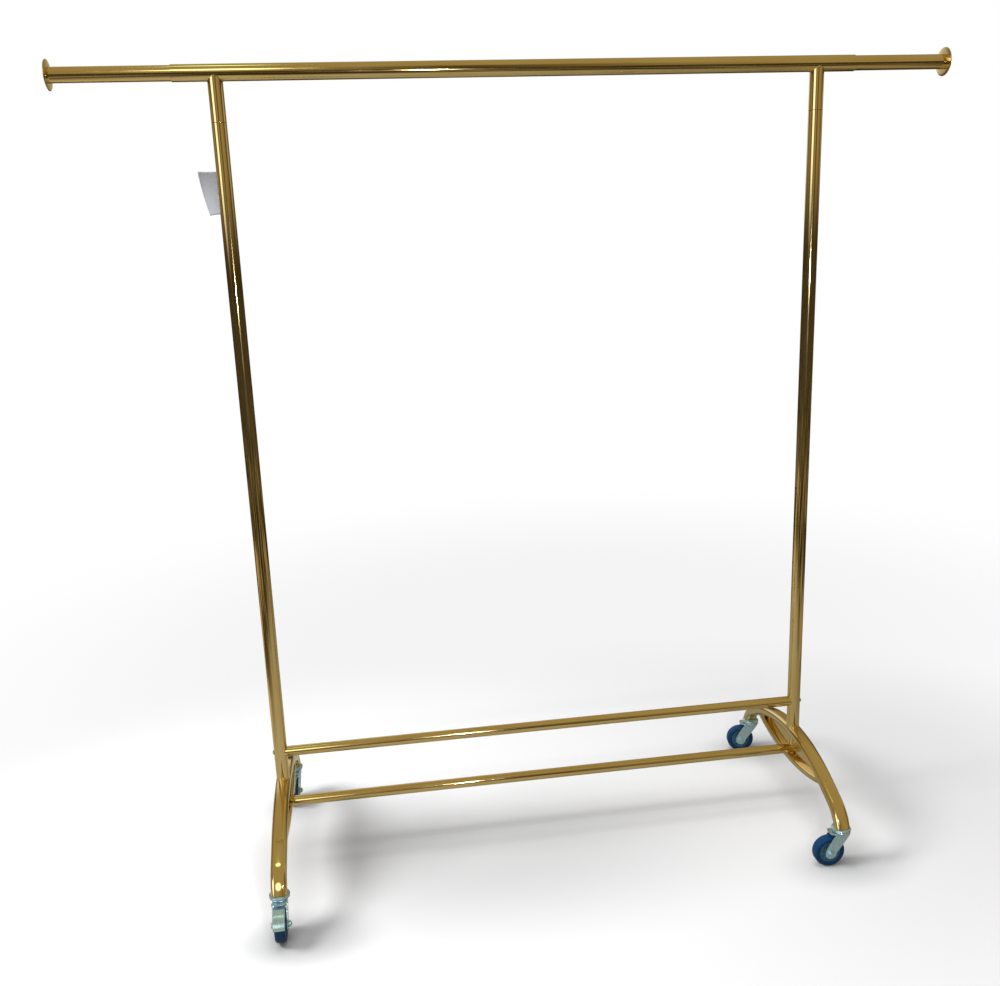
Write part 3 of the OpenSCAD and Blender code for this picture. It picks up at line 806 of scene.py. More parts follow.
def build_uprights(tubes):
    """Uprights cut to the arches, with the accessory holes, and the necks cut to the rail"""
    edge, bore = tubes.edge, UPRIGHT_R - tubes.upright_wall
    out = UPRIGHT_R + BEAD_LIFT
    ring = [(out * math.cos(a), out * math.sin(a)) for a in around(96)]

    def foot(x, y):
        return arch_height(x, y, GAP)

    def crown(x, y):
        return rail_underside(x, y, GAP)

    for side, sign in SIDES:
        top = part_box(side + "_upright")[1].z
        heights = [tubes.accessory_low + k * tubes.accessory_pitch for k in range(3)]
        holes = [(z, tubes.accessory_hole * HOLE_ROOM) for z in heights] if sign > 0 else []
        pole = tube(UPRIGHT_R, bore, foot, top, edge, holes=holes)
        if sign > 0:
            marks = [(-UPRIGHT_R, 0, z) for z in heights]
            facing = (0, math.radians(90), 0)
            pole = drill(pole, marks, tubes.accessory_hole, DRILL_DEPTH, facing, "gold_z")
        place = shift(x=sign * UPRIGHT_X)
        make_piece(side + "_pole", pole, "gold_z", side + "_upright", place=place)
        neck = tube(UPRIGHT_R, bore, SEAM_Z, crown, edge)
        make_piece(side + "_stub", neck, "gold_z", side + "_neck", place=place)
        middle = sign * UPRIGHT_X
        head = [(middle + x, y, rail_underside(x, min(y, RAIL_R), BEAD_LIFT)) for x, y in ring]
        base = [(middle + x, y, arch_height(x, y, BEAD_LIFT)) for x, y in ring]
        weld(side + "_neck", [head], "gold_z", side + "_neck", 0.7 * MM)
        weld(side + "_foot", [base], "gold_z", side + "_upright")


def build_stretchers(tubes):
    """Two stretchers, the upper cut to the uprights and the lower to the posts"""
    pairs = (("upper_stretcher", UPPER_Z, UPRIGHT_R), ("lower_stretcher", LOWER_Z, POST_R))
    for name, height, mate in pairs:
        reach = mate + GAP

        def end(x, y, reach=reach):
            return UPRIGHT_X - math.sqrt(max(reach**2 - y**2, (1.1 * MM) ** 2))

        bar = tube(
            STRETCHER_R, STRETCHER_R - tubes.stretcher_wall,
            lambda x, y, end=end: -end(x, y), end, tubes.edge,
        )
        make_piece(name + "_tube", bar, "gold_x", name, place=shift(z=height) @ ALONG_X)


def screw_mesh():
    """M6 button-head screw standing on its seat, with a socket and a rolled thread"""
    head, top = 5.5 * MM, 3.3 * MM
    dome = [(2.6 * MM, top), (3.6 * MM, top - 0.15 * MM), (4.6 * MM, top - 0.8 * MM)]
    dome += [(5.3 * MM, top - 1.9 * MM), (head, 0.6 * MM), (head, 0.25 * MM)]
    dome += [(head - 0.3 * MM, 0), (3 * MM, 0), (3 * MM, -3 * MM)]
    thread = []
    for k in range(16):
        thread += [(2.55 * MM, (-3.2 - k * 0.5) * MM), (3 * MM, (-3.45 - k * 0.5) * MM)]
    body = dome + thread + [(2.2 * MM, -11.6 * MM), (0, -12 * MM)]
    rings, steps = [[(0, 0, top - 2.0 * MM)]], 48
    for depth in (2.0 * MM, 0.25 * MM):
        reach = [(a, 2.3 * MM * hexagonal(a)) for a in around(steps)]
        rings.append([(r * math.cos(a), r * math.sin(a), top - depth) for a, r in reach])
    return rings_mesh(rings + lathe_rings(body, steps))


def build_screws():
    """Screws behind the necks and outside the stretchers' ends"""
    quarter = math.radians(90)
    neck_z = centre("neck_screws").z
    sets = {
        "neck_screws": [((s * UPRIGHT_X, UPRIGHT_R, neck_z), (-quarter, 0, 0)) for s in (-1, 1)],
        "stretcher_screws": [
            ((s * (UPRIGHT_X + reach), 0, z), (0, s * quarter, 0))
            for s in (-1, 1)
            for reach, z in ((UPRIGHT_R, UPPER_Z), (POST_R, LOWER_Z))
        ],
    }
    shape = helper(screw_mesh())
    for node, spots in sets.items():
        points = points_mesh([p for p, _ in spots], [f for _, f in spots])
        made = rule("points").grow(points, {"Shape": shape, "Material": material("gold_z")})
        make_piece(node + "_set", made, "gold_z", node)
    bpy.data.objects.remove(shape)


def oval(depth, width, corner, steps=10):
    """Flat-oval outline as (depth, width) points"""
    points = []
    for quarter, (u, v) in enumerate(((1, 1), (-1, 1), (-1, -1), (1, -1))):
        for k in range(steps):
            angle = math.radians(90) * (quarter + k / (steps - 1))
            across = u * (depth / 2 - corner) + corner * math.cos(angle)
            points.append((across, v * (width / 2 - corner) + corner * math.sin(angle)))
    return points


def arch_line(offset, legs, end_z):
    """One line along half the arch, from top to cut end, at an offset from its middle line"""
    middle = legs.arch_radius - legs.arch_depth / 2
    origin = ARCH_TOP - legs.arch_radius
    knee = legs.knee - legs.arch_depth / 2
    slope = legs.slope
    along = Vector((math.cos(slope), -math.sin(slope)))
    out = Vector((math.sin(slope), math.cos(slope)))
    corner = Vector((0, origin)) + out * (middle - knee) + along * legs.straight
    line = []
    for k in range(29):
        angle = slope * k / 28
        aim = Vector((math.sin(angle), math.cos(angle)))
        line.append(Vector((0, origin)) + (middle + offset) * aim)
    line.append(corner + out * (knee + offset))
    last = math.acos(max(-1, min(1, (end_z - corner.y) / (knee + offset))))
    for k in range(1, 25):
        angle = slope + (last - slope) * k / 24
        line.append(corner + (knee + offset) * Vector((math.sin(angle), math.cos(angle))))
    return line


def arch_mesh(legs):
    """The arched tube from one cut end to the other, with its wall"""

    def skin_rings(shrink, end_z):
        depth, width = legs.arch_depth - 2 * shrink, 2 * (ARCH_HALF_W - shrink)
        outline = oval(depth, width, legs.arch_corner - shrink)
        lines = [(width, arch_line(depth, legs, end_z)) for depth, width in outline]
        stops = len(lines[0][1])
        right = [[(w, line[k].x, line[k].y) for w, line in lines] for k in range(stops)]
        left = [[(w, -line[k].x, line[k].y) for w, line in lines] for k in range(stops - 1, 0, -1)]
        return left + right

    edge = 0.4 * MM
    outer = skin_rings(0.0, ARCH_END + edge)
    rim = skin_rings(edge, ARCH_END)
    inner = skin_rings(legs.arch_wall, ARCH_END)
    rings = [rim[0]] + outer + [rim[-1]] + inner[::-1]
    return rings_mesh(rings, closed=True)


def bow_place(depth, width, angle, legs):
    """A point of the bow at an angle from its lowest point"""
    radius = legs.bow_radius - legs.bow_depth / 2 + depth
    high = BOW_BOTTOM + legs.bow_radius
    return (width, radius * math.sin(angle), high - radius * math.cos(angle))


def bow_reach(depth, width, legs):
    """Angle at which a line of the bow meets the arch's underside"""
    over = max(0.0, abs(width) - (ARCH_HALF_W - legs.arch_corner))
    drop = legs.arch_corner - math.sqrt(max(0.0, legs.arch_corner**2 - over**2))
    limit = legs.arch_radius - legs.arch_depth + drop - GAP
    origin = ARCH_TOP - legs.arch_radius
    low, high = 0.0, 0.5
    for _ in range(40):
        angle = (low + high) / 2
        _, y, z = bow_place(depth, width, angle, legs)
        if math.hypot(y, z - origin) < limit:
            low = angle
        else:
            high = angle
    return low


def build_legs(legs):
    """Arches, bows, posts and webs with their polished welds"""
    outline = oval(legs.bow_depth, legs.bow_width, legs.bow_corner, 8)
    reach = [bow_reach(depth, width, legs) for depth, width in outline]
    proud = oval(legs.bow_depth + 0.4 * MM, legs.bow_width + 0.4 * MM, legs.bow_corner, 8)
    inside = [(d * 0.8, w * 0.9) for d, w in outline]
    steps, rings = 60, []
    for line, step in ((outline, 1), (inside, -1)):
        for k in range(-steps, steps + 1):
            place = step * k
            pairs = zip(line, reach)
            rings.append([bow_place(d, w, r * place / steps, legs) for (d, w), r in pairs])
    bow = rings_mesh(rings, closed=True)
    post = [(0, POST_LOW), (POST_R, POST_LOW), (POST_R, POST_HIGH), (0, POST_HIGH)]
    for side, sign in SIDES:
        x = sign * UPRIGHT_X
        parts = (("arch", arch_mesh(legs), "gold_y"), ("bow", bow.copy(), "gold_y"),
                 ("post", lathe(post, steps=64), "gold_z"))
        for name, mesh, finish in parts:
            make_piece(f"{side}_{name}", mesh, finish, f"{side}_leg_{name}", place=shift(x))
        loops = []
        for end in (-1, 1):
            loops.append([
                shift(x) @ Vector(bow_place(d, w, end * (r - BEAD_BACK), legs))
                for (d, w), r in zip(proud, reach)
            ])
        for z in (BOW_BOTTOM + legs.bow_depth, ARCH_TOP - legs.arch_depth):
            loops.append([(x + POST_R * math.cos(a), POST_R * math.sin(a), z) for a in around(48)])
        weld(side + "_leg", loops, "gold_y", side + "_leg_arch", 0.8 * MM)


def caster_place(corner):
    """Stands a caster made along +X under its leg end, turned as the frame has it"""
    swivel = Vector(JOINTS[corner + "_swivel"]["pos_m"])
    wheel = Vector(JOINTS[corner + "_wheel_spin"]["pos_m"])
    heading = math.atan2(wheel.y - swivel.y, wheel.x - swivel.x)
    return shift(swivel.x, swivel.y) @ turn(heading, "Z")


def head_mesh():
    """Swivel head: stem, cup with a waist, race cavity and riveted kingpin"""
    outline = [
        (0, 118), (4.3, 118), (5, 117.3), (5, 98.1), (12, 98), (17.3, 97.3), (20.6, 96.2),
        (22.4, 94.9), (23, 93.6), (22.9, 92.6), (22.2, 91.8), (21.6, 90.9), (21.5, 90),
        (22, 89.2), (22.3, 88.8), (21.9, 88.4), (19.5, 88.4), (19.3, 88.8), (19.3, 91.8),
        (18.7, 92.4), (5.5, 92.4), (5.5, 84.3), (7.3, 84.3), (8, 83.6), (8, 82), (7, 80.9),
        (3, 80.7), (0, 80.9),
    ]
    return lathe([(r * MM, z * MM) for r, z in outline])


def arm_span(height, sizes, low_end, top):
    """Front and back of a fork arm at a height"""
    axle_x, axle_z, radius = sizes.trail, WHEEL_R, low_end
    share_up = (height - axle_z) / (top - axle_z)
    if share_up <= 0:
        half = math.sqrt(max(1e-9, radius**2 - (height - axle_z) ** 2))
        return axle_x - half, axle_x + half
    back = axle_x - radius + (-ARM_BACK - axle_x + radius) * share_up
    front = axle_x + radius + (ARM_FRONT - axle_x - radius) * share_up**1.5
    return back, front


def fork_mesh(sizes, braked):
    """Stamped fork: round crown with a nose over the wheel, folded into two tapering arms"""
    half_sheet = sizes.sheet / 2
    side_y, crown_z = sizes.arm + half_sheet, FORK_TOP - half_sheet
    bend, low_end = 3.2 * MM, 14 * MM
    path = []
    bottom = WHEEL_R - low_end
    for k in range(12):
        angle = math.radians(90) * k / 12
        path.append((side_y, WHEEL_R - low_end * math.cos(angle)))
    for k in range(9):
        path.append((side_y, WHEEL_R + (crown_z - bend - WHEEL_R) * k / 8))
    for k in range(1, 7):
        angle = math.radians(90) * k / 6
        path.append((side_y - bend * (1 - math.cos(angle)), crown_z - bend * (1 - math.sin(angle))))
    for k in range(1, 13):
        path.append(((side_y - bend) * (1 - k / 12), crown_z))
    rows = []
    for y, z in path:
        if z < crown_z - bend + 1e-9:
            back, front = arm_span(max(z, bottom + 0.05 * MM), sizes, low_end, crown_z - bend)
        else:
            rise = min(1.0, (z - crown_z + bend) / bend)
            wide = math.sqrt(CROWN_R**2 - y**2)
            over = max(0.0, y - (side_y - NOSE_ROUND))
            fall = math.sqrt(NOSE_ROUND**2 - min(over, 8.9 * MM) ** 2)
            nose = NOSE_REACH - NOSE_ROUND + fall
            back = -ARM_BACK * (1 - rise) - wide * rise
            front = ARM_FRONT * (1 - rise) + nose * rise
        rows.append((y, z, back, front))
    mirrored = [(-y, z, back, front) for y, z, back, front in rows[:-1]]
    rows = mirrored + rows[::-1]
    across = 14
    shape = bmesh.new()
    grid = []
    for y, z, back, front in rows:
        spread = [(1 - math.cos(math.pi * k / across)) / 2 for k in range(across + 1)]
        grid.append([shape.verts.new((back + (front - back) * s, y, z)) for s in spread])
    for lower, upper in zip(grid, grid[1:]):
        strip(shape, lower, upper)
    bmesh.ops.remove_doubles(shape, verts=shape.verts, dist=0.01 * MM)
    bmesh.ops.recalc_face_normals(shape, faces=shape.faces)
    holder = helper(mesh_of(shape))
    wall = holder.modifiers.new("Wall", "SOLIDIFY")
    wall.thickness, wall.offset, wall.use_even_offset = sizes.sheet, 0.0, True
    edge = holder.modifiers.new("Edge", "BEVEL")
    edge.width, edge.segments, edge.limit_method = 0.45 * MM, 2, "ANGLE"
    made = evaluated(holder)
    if braked:
        reach = sizes.arm + sizes.sheet
        pin = [(0, -reach - 1.6 * MM), (3 * MM, -reach - 1.6 * MM)]
        pin += [(4 * MM, -reach - 0.1 * MM), (2.5 * MM, -reach)]
        pin += [(r, -z) for r, z in pin[::-1]]
        made = joined(made, moved(lathe(pin, steps=40), ALONG_Y, shift(*PEDAL_PIN)))
    return made


def hexagon(radius, low, high):
    """Hexagonal head or nut with chamfered corners"""
    rings = []
    for z, chamfer in ((low, 0.93), (low + 0.5 * MM, 1.0), (high - 0.5 * MM, 1.0), (high, 0.93)):
        ring = []
        for angle in around(72):
            reach = min(radius * hexagonal(angle), radius * chamfer)
            ring.append((reach * math.cos(angle), reach * math.sin(angle), z))
        rings.append(ring)
    return rings_mesh([[(0, 0, low)]] + rings + [[(0, 0, high)]])


def axle_mesh(sizes):
    """Axle bolt with its head, washers, lock nut and threaded end"""
    seat = sizes.arm + sizes.sheet + GAP
    washer = 0.8 * MM
    shaft = [(0, -seat), (4 * MM, -seat), (4 * MM, seat)]
    for k in range(5):
        shaft += [(3.55 * MM, seat + (2.3 + k * 1.25) * MM), (4 * MM, seat + (2.9 + k * 1.25) * MM)]
    shaft += [(3.3 * MM, seat + 8 * MM), (0, seat + 8 * MM)]
    parts = [lathe(shaft, steps=48), hexagon(6.6 * MM, -seat - 4.4 * MM, -seat - washer)]
    parts.append(hexagon(6.6 * MM, seat + washer, seat + 6 * MM))
    for z in (-seat - washer, seat):
        disc = [(4.1 * MM, z), (7.3 * MM, z), (7.6 * MM, z + 0.25 * MM)]
        disc += [(7.6 * MM, z + washer - 0.25 * MM), (7.3 * MM, z + washer), (4.1 * MM, z + washer)]
        parts.append(lathe(disc, closed=True, steps=48))
    return joined(*parts)


def hub_mesh(sizes):
    """Moulded hub: rim, dished web, boss and a ring of ribs on each side"""
    half, boss = WHEEL_W / 2 - 2 * MM, sizes.arm - 0.5 * MM
    web = half - 4 * MM
    side = [
        (6.06, boss), (9.4, boss), (10, boss - 0.6 * MM), (10.3, web + 1 * MM), (11.4, web),
        (21.3, web), (22.4, web + 1 * MM), (22.8, half - 0.5 * MM), (23.3, half), (24.9, half),
    ]
    upper = [(r * MM, z) for r, z in side] + [(HUB_R, half - 0.6 * MM)]
    hub = lathe(upper + [(r, -z) for r, z in upper[::-1]], closed=True)
    rib = rings_mesh([
        [(x * MM, y * w * MM, z) for x, y in ((-5.6, -1), (5.9, -1), (5.9, 1), (-5.6, 1))]
        for z, w in ((web - 0.2 * MM, 0.8), (web + 2.6 * MM, 0.7), (web + 3 * MM, 0.4))
    ])
    cap = bmesh.new()
    cap.from_mesh(rib)
    bmesh.ops.holes_fill(cap, edges=cap.edges, sides=0)
    ribs = ring_of(mesh_of(cap), RIB_MIDDLE, sizes.ribs, "hub")
    return joined(hub, ribs, moved(ribs.copy(), turn(math.pi, "X")))


def tyre_mesh():
    """Tyre with a rounded tread, a moulding line and a stepped side wall"""
    half, corner, inner = WHEEL_W / 2, 6 * MM, HUB_R + GAP
    steps = ((0, 1.4), (0.5, 0.9), (1.2, 0.6), (1.8, 0.1), (2.4, 0))
    side = [(inner + out * MM, half - down * MM) for out, down in steps]
    side.append((WHEEL_R - corner, half))
    for k in range(1, 12):
        angle = math.radians(90) * k / 12
        out = WHEEL_R - corner * (1 - math.sin(angle))
        side.append((out, half - corner * (1 - math.cos(angle))))
    side += [(WHEEL_R - 0.02 * MM, 3 * MM), (WHEEL_R - 0.1 * MM, 0.45 * MM), (WHEEL_R, 0.2 * MM)]
    return lathe(side + [(r, -z) for r, z in side[::-1]], closed=True, steps=144)


def pedal_mesh(sizes):
    """Brake pedal: a plate curved over the tyre, rolled round its pin, with a turned-up toe"""
    inner, thick, half = WHEEL_R + sizes.pedal_gap, 2.4 * MM, sizes.arm - 1 * MM
    outline = []
    for k in range(25):
        angle = math.radians(14 + (105 - 14) * k / 24)
        outline.append(((inner + thick) * math.cos(angle), (inner + thick) * math.sin(angle)))
    for k in range(25):
        angle = math.radians(105 - (105 - 14) * k / 24)
        outline.append((inner * math.cos(angle), inner * math.sin(angle)))
    toe = math.radians(14)
    out, down = Vector((math.cos(toe), math.sin(toe))), Vector((math.sin(toe), -math.cos(toe)))
    start = out * inner
    outline += [tuple(start + down * 1.4 * MM), tuple(start + out * 5.2 * MM + down * 1.4 * MM)]
    outline.append(tuple(start + out * 5.4 * MM - down * 0.2 * MM))
    outline.append(tuple(start + out * 4.8 * MM - down * 1.0 * MM))
    axle = (sizes.trail, WHEEL_R)
    rings = []
    for y, inset in ((-half, 0.35), (-half + 0.4 * MM, 0.0), (half - 0.4 * MM, 0.0), (half, 0.35)):
        middle_r = inner + thick / 2
        ring = []
        for px, pz in outline:
            reach = math.hypot(px, pz)
            nearer = (1 - inset) + inset * middle_r / reach
            ring.append((axle[0] + px * nearer, y, axle[1] + pz * nearer))
        rings.append(ring)
    shape = bmesh.new()
    made = [[shape.verts.new(p) for p in ring] for ring in rings]
    for lower, upper in zip(made, made[1:]):
        strip(shape, lower, upper, closed=True)
    shape.faces.new(made[0][::-1])
    shape.faces.new(made[-1])
    bmesh.ops.triangulate(shape, faces=[f for f in shape.faces if len(f.verts) > 4])
    bmesh.ops.recalc_face_normals(shape, faces=shape.faces)
    plate, pin = mesh_of(shape), shift(*PEDAL_PIN)
    roll = tube(4.4 * MM, 2.56 * MM, -half, half, 0.4 * MM, 48)
    back = shift(*(-place for place in PEDAL_PIN))
    raised = pin @ turn(-sizes.pedal_lift, "Y") @ back
    return moved(joined(plate, moved(roll, ALONG_Y, pin)), raised)


def build_casters(sizes):
    """Four casters, two of them with brake pedals"""
    axle_at = shift(sizes.trail, 0, WHEEL_R) @ ALONG_Y
    bulge = [math.radians(15 * k) for k in range(-5, 6)]
    bulge = [(BALL_R * math.cos(a), BALL_R * math.sin(a)) for a in bulge]
    ball = lathe([(0, -BALL_R), *bulge, (0, BALL_R)], steps=20)
    ball_z = centre("front_right_swivel_balls").z
    balls = moved(ring_of(ball, RACE_R, sizes.balls, "balls"), shift(z=ball_z))
    half = sizes.arm - GAP
    bush = tube(BUSH_R, BUSH_BORE, -half, half, 0.2 * MM, 64)
    hub, tyre, axle, head = hub_mesh(sizes), tyre_mesh(), axle_mesh(sizes), head_mesh()
    for corner in CORNERS:
        place = caster_place(corner)
        turned = place @ axle_at
        braked = corner in BRAKED
        parts = [
            ("_head", head, "zinc", "_swivel_head", place),
            ("_balls", balls, "balls", "_swivel_balls", place),
            ("_yoke", fork_mesh(sizes, braked), "zinc", "_fork", place),
            ("_bolt", axle, "zinc", "_axle", turned),
            ("_bush", bush, "inside", "_wheel_bush", turned),
            ("_wheel_hub", hub, "hub", "_hub", turned),
            ("_wheel_tyre", tyre, "tyre", "_tyre", turned),
        ]
        if braked:
            parts.append(("_pedal", pedal_mesh(sizes), "zinc", "_brake_pedal", place))
        for ending, mesh, finish, node, spot in parts:
            make_piece(corner + ending, mesh.copy(), finish, corner + node, place=spot)


def build_label():
    """Paper label round the left upright's back, curling away towards its lower outer corner"""
    low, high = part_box("price_label")
    radius, wide = UPRIGHT_R + 0.12 * MM, LABEL_REACH
    columns, rows = 26, 30
    shape = bmesh.new()
    grid = []
    for r in range(rows + 1):
        v = r / rows
        z = high.z + (low.z - high.z) * v
        line = []
        for k in range(8, 0, -1):
            angle = math.radians(180 - 70 * k / 8)
            line.append((-UPRIGHT_X + radius * math.cos(angle), radius * math.sin(angle), z))
        lean = math.radians(10 + 42 * v)
        x, y = -UPRIGHT_X - radius, 0.0
        for c in range(columns + 1):
            u = c / columns
            line.append((x, y, z + 1.6 * MM * u * u * (1 - 2 * v)))
            angle = lean * (0.55 + 0.9 * u)
            x -= wide / columns * math.cos(angle)
            y += wide / columns * math.sin(angle) * (0.9 - 1.2 * max(0.0, u - 0.75))
        grid.append([shape.verts.new(p) for p in line])
    for lower, upper in zip(grid, grid[1:]):
        strip(shape, lower, upper)
    bmesh.ops.recalc_face_normals(shape, faces=shape.faces)
    piece = make_piece("paper_label", mesh_of(shape), "paper", "price_label")
    wall = piece.modifiers.new("Paper", "SOLIDIFY")
    wall.thickness, wall.offset = LABEL_PAPER, 0.0


def finish_frame_nodes():
    """Materials for the CAD nodes that stay in view"""
    kept = {
        "left_leg_web": "gold_y", "right_leg_web": "gold_y", "left_latch_spring": "inside",
        "right_latch_spring": "inside", "spigots": "inside", "stretcher_plugs": "inside",
        "leg_end_inserts": "inside",
    }
    for node, finish in kept.items():
        mesh = NODES[node].data
        mesh.materials.clear()
        mesh.materials.append(material(finish))


def painted_shade_pools():
    """Soft pools of shade on the floor: under the rack, beside the left leg and at each wheel"""
    pools = [((-0.18, -0.10, 0), (1.25, 2.6, 1), 0.40), ((-0.48, 0.06, 0), (3.0, 3.6, 1), 0.34)]
    for corner in CORNERS:
        wheel = Vector(JOINTS[corner + "_wheel_spin"]["pos_m"])
        strength = 0.62 if corner == "front_left" else 0.40
        pools.append(((wheel.x + 0.05, wheel.y - 0.01, 0), (5.6, 9.0, 1), strength))
    return pools


def build_floor(scene):
    """Pale floor that fades to white far off, and looks like a shop's floor in reflections"""
    shape = bmesh.new()
    bmesh.ops.create_grid(shape, x_segments=1, y_segments=1, size=FLOOR_REACH)
    mesh = mesh_of(shape)
    floor = bpy.data.objects.new("floor", mesh)
    scene.collection.objects.link(floor)
    nodes = surface("Pale floor")
    here = nodes.place()
    tone = FLOOR_PALE
    # painted shade: darker pools where the rack's shadows fall
    for spot, scale, strength in painted_shade_pools():
        pool = (1 - nodes.apart(here, scale, spot).step(0.1, 1.15)) * strength
        tone = nodes.mix(pool, tone, FLOOR_SHADE)
    pale = nodes.add("ShaderNodeBsdfDiffuse", {}, {"Color": tone})
    # painted shade: the glowing floor turns a little grey in a patch behind the rack
    behind = nodes.apart(here, (0.42, 0.5, 1), (0.35, 1.3, 0)).step(0.35, 1.2)
    shaded_glow_colour = nodes.mix(behind, FLOOR_SHADE_BEHIND, WHITE)
    glow = nodes.add("ShaderNodeEmission", {}, {"Color": shaded_glow_colour, "Strength": 1.0})
    far = nodes.apart(here, (0.62, 0.95, 1)).step(0.55, 1.25)
    seen = nodes.add("ShaderNodeMixShader", {}, [far, pale, glow])
    clutter = nodes.noise(nodes.place(), 0.75, 3.0, 0.6).step(0.46, 0.6)
    goods = nodes.mix(clutter, GOODS_DARK, GOODS_LIGHT)
    beyond = nodes.mix(nodes.apart(here, (1, 1, 1)).step(0.9, 2.1), NEAR_REFLECTED, goods)
    dull = nodes.add("ShaderNodeBsdfDiffuse", {}, {"Color": beyond})
    straight = nodes.add("ShaderNodeLightPath", {}, output="Is Camera Ray")
    shown = nodes.add("ShaderNodeMixShader", {}, [straight, dull, seen])
    nodes.make("ShaderNodeOutputMaterial", {}, [shown])
    mesh.materials.append(nodes.owner)


def build_room(scene):
    """World that is white in view, even in soft light, and a room with panels in reflections"""
    scene.world = bpy.data.worlds.new("Room")
    nodes = Shading(scene.world)
    direction = nodes.add("ShaderNodeTexCoord", {})
    parts = nodes.make("ShaderNodeSeparateXYZ", {}, [direction])
    x, y, z = (Field(nodes, socket) for socket in parts.outputs)
    bearing = y.math("ARCTAN2", x) / math.tau + 0.5
    walls = nodes.add("ShaderNodeValToRGB", {"stops": ROOM_WALLS}, [bearing])
    ceiling = nodes.mix(z.step(0.45, 0.8), walls, ROOM_CEILING)
    room = nodes.mix(z.step(-0.02, 0.08), ROOM_FLOOR, ceiling)
    for aim, scale, shine in ROOM_PANELS:
        room = nodes.mix(1 - nodes.apart(direction, scale, aim).step(0.8, 1.2), room, shine)
    path = "ShaderNodeLightPath"
    soft = nodes.mix(nodes.add(path, {}, output="Is Diffuse Ray"), room, SOFT_LIGHT)
    shown = nodes.mix(nodes.add(path, {}, output="Is Camera Ray"), soft, WHITE)
    light = nodes.add("ShaderNodeBackground", {}, {"Color": shown, "Strength": 1.0})
    nodes.make("ShaderNodeOutputWorld", {}, [light])


def build_lamps(scene):
    """Round lamps, of which only the small one shows in reflections"""
    for name, spot, size, power, shine in LAMPS:
        lamp = bpy.data.lights.new(name, "AREA")
        lamp.shape, lamp.size, lamp.energy = "DISK", size, power
        item = bpy.data.objects.new(name, lamp)
        item.location = spot
        aim = Vector(LAMP_AIM) - Vector(spot)
        item.rotation_euler = aim.to_track_quat("-Z", "Y").to_euler()
        item.visible_glossy = shine
        item.visible_camera = False
        scene.collection.objects.link(item)


def build_camera(scene):
    """Camera at its spot, turned by a yaw, a pitch downwards and a roll"""
    lens = bpy.data.cameras.new("camera")
    camera = bpy.data.objects.new("camera", lens)
    scene.collection.objects.link(camera)
    lens.sensor_width, lens.lens = SENSOR, SENSOR * CAMERA_FOCAL
    lens.shift_y = CAMERA_SHIFT
    lens.clip_end = 100.0
    yaw, pitch, roll = (math.radians(a) for a in CAMERA_TURN)
    flat = math.cos(pitch)
    ahead = Vector((math.sin(yaw) * flat, math.cos(yaw) * flat, -math.sin(pitch)))
    level = ahead.cross(Vector((0, 0, 1))).normalized()
    up = level.cross(ahead)
    right = level * math.cos(roll) + up * math.sin(roll)
    up = up * math.cos(roll) - level * math.sin(roll)
    turned = Matrix((right, up, -ahead)).transposed().to_4x4()
    camera.matrix_world = shift(*CAMERA_SPOT) @ turned
    scene.camera = camera


def build_stage():
    """Pale floor and room, soft lights and the camera"""
    scene = bpy.context.scene
    scene.view_settings.view_transform = "Standard"
    for build in (build_floor, build_room, build_lamps, build_camera):
        build(scene)


WHITE = (1, 1, 1, 1)
SOFT_LIGHT = (0.30, 0.30, 0.305, 1)
LAMP_AIM = (0, 0, 0.7)
FLOOR_PALE = (0.79, 0.79, 0.795, 1)
FLOOR_SHADE = (0.22, 0.221, 0.226, 1)
# grey of the painted shade behind the rack
FLOOR_SHADE_BEHIND = (0.905, 0.905, 0.905, 1)
GOODS_DARK = (0.045, 0.032, 0.016, 1)
GOODS_LIGHT = (0.40, 0.33, 0.20, 1)
NEAR_REFLECTED = (0.33, 0.31, 0.24, 1)
ROOM_CEILING = (0.40, 0.33, 0.17, 1)
ROOM_FLOOR = (0.05, 0.036, 0.018, 1)
ROOM_PANELS = (
    ((-0.11, -0.03, 0.99), (20, 12, 1), (1.7, 2.5, 1.5, 1)),
    ((-0.11, -0.86, 0.50), (16, 5, 6), (2.2, 2.4, 2.0, 1)),
    ((-0.80, -0.50, 0.33), (4, 4, 5), (2.2, 2.2, 2.2, 1)),
)
DARK_WALL = (0.05, 0.035, 0.015)
DIM_WALL = (0.08, 0.055, 0.02)
TAN_WALL = (0.34, 0.28, 0.15)
ROOM_WALLS = [
    (0.00, TAN_WALL), (0.06, DARK_WALL), (0.09, (1.8, 1.8, 1.8)), (0.14, (1.8, 1.8, 1.8)),
    (0.165, (0.20, 0.15, 0.06)), (0.23, (0.42, 0.34, 0.18)), (0.27, DIM_WALL),
    (0.32, (0.40, 0.32, 0.16)), (0.42, (0.30, 0.23, 0.10)), (0.47, DARK_WALL),
    (0.53, (0.55, 0.50, 0.40)), (0.62, DIM_WALL), (0.70, TAN_WALL), (0.80, (1.0, 1.0, 1.0)),
    (0.86, (0.18, 0.13, 0.06)), (1.00, TAN_WALL),
]
LAMPS = (
    ("overhead", (-0.6, -0.2, 4.6), 3.6, 120.0, False),
    ("key", (-2.9, -0.2, 2.5), 1.2, 95.0, False),
    ("spark", (-0.02, -2.35, 1.3), 0.07, 9.0, True),
)
SENSOR = 36.0  # mm wide
CAMERA_SPOT = (-0.3984, -2.293, 1.4864)
CAMERA_TURN = (7.55, 13.882, -2.145)
CAMERA_FOCAL = 1.0
CAMERA_SHIFT = -0.0031


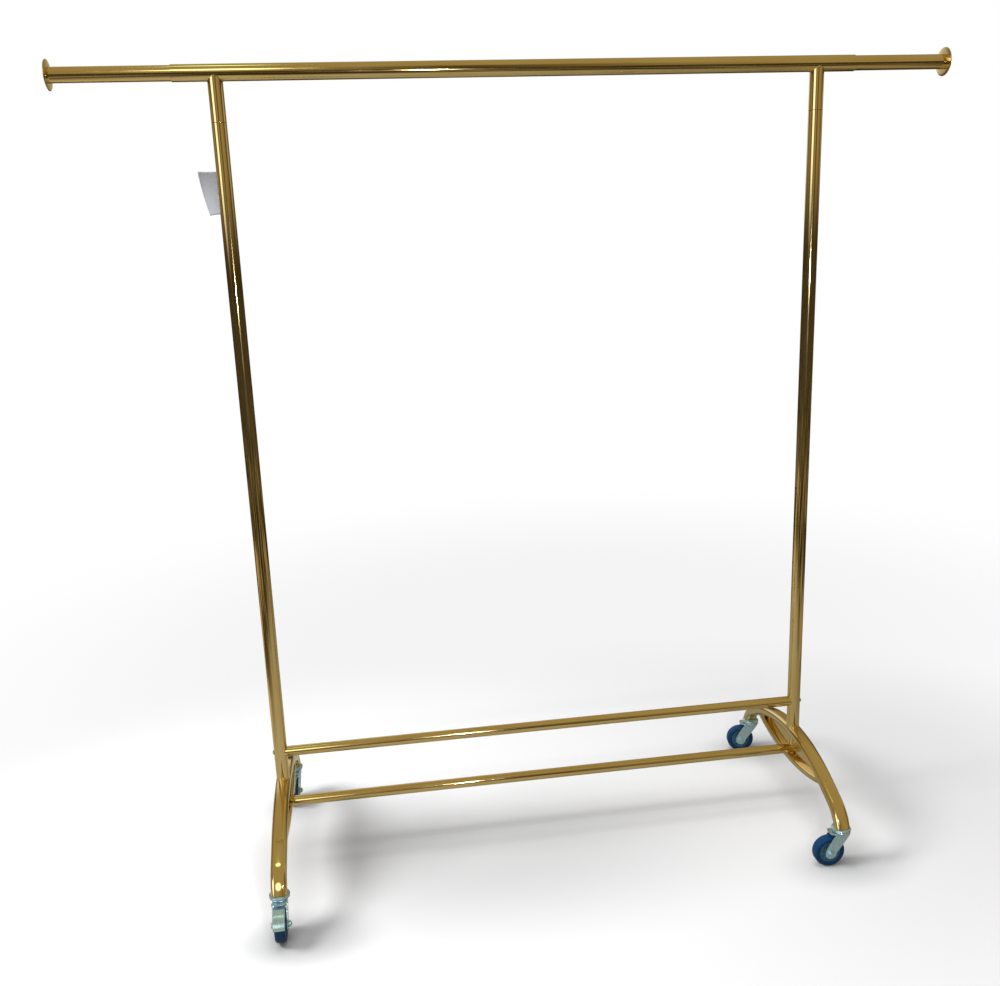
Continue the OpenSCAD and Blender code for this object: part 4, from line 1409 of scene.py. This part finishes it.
def operator(name, label, about, job, sizes):
    """An operator that runs one job with the sizes it needs"""

    def execute(self, context):
        job(*([getattr(context.scene, "rack_" + sizes)] if sizes else []))
        return {"FINISHED"}

    members = {
        "bl_idname": "rack." + name, "bl_label": label, "__doc__": about,
        "bl_options": {"REGISTER", "UNDO"}, "execute": execute,
    }
    return type("RACK_OT_" + name, (bpy.types.Operator,), members)


STEPS = {
    "rail": ("Rail and Pull-outs", "Builds the rail and its pull-outs", build_rail, "tubes"),
    "uprights": ("Uprights", "Builds the uprights and necks", build_uprights, "tubes"),
    "stretchers": ("Stretchers", "Builds the two stretchers", build_stretchers, "tubes"),
    "screws": ("Screws", "Builds the button-head screws", build_screws, None),
    "legs": ("Legs", "Builds the arches, bows and posts", build_legs, "legs"),
    "casters": ("Casters", "Builds the four casters", build_casters, "casters"),
    "label": ("Price Label", "Builds the curled paper label", build_label, None),
    "frame_nodes": ("Inner Parts", "Finishes the frame's inner parts", finish_frame_nodes, None),
    "stage": ("Stage", "Builds the floor, room, lights and camera", build_stage, None),
}
OPERATORS = [operator(name, *step) for name, step in STEPS.items()]


class RACK_PT_panel(bpy.types.Panel):
    """Lists the rack's sizes, colours and building steps"""

    bl_label = "Garment Rack"
    bl_idname = "RACK_PT_panel"
    bl_space_type = "VIEW_3D"
    bl_region_type = "UI"
    bl_category = "Garment Rack"

    def draw(self, context):
        for group, kind in SETTINGS.items():
            box = self.layout.box()
            for name in kind.__annotations__:
                box.prop(getattr(context.scene, group), name)
        for item in OPERATORS:
            self.layout.operator(item.bl_idname)


def register():
    for kind in (*SETTINGS.values(), *OPERATORS, RACK_PT_panel):
        bpy.utils.register_class(kind)
    for group, kind in SETTINGS.items():
        setattr(bpy.types.Scene, group, bpy.props.PointerProperty(type=kind))


def unregister():
    for group in SETTINGS:
        delattr(bpy.types.Scene, group)
    for kind in (RACK_PT_panel, *reversed(OPERATORS), *reversed(list(SETTINGS.values()))):
        bpy.utils.unregister_class(kind)


def main():
    register()
    for name in STEPS:
        getattr(bpy.ops.rack, name)()


if __name__ == "__main__":
    main()
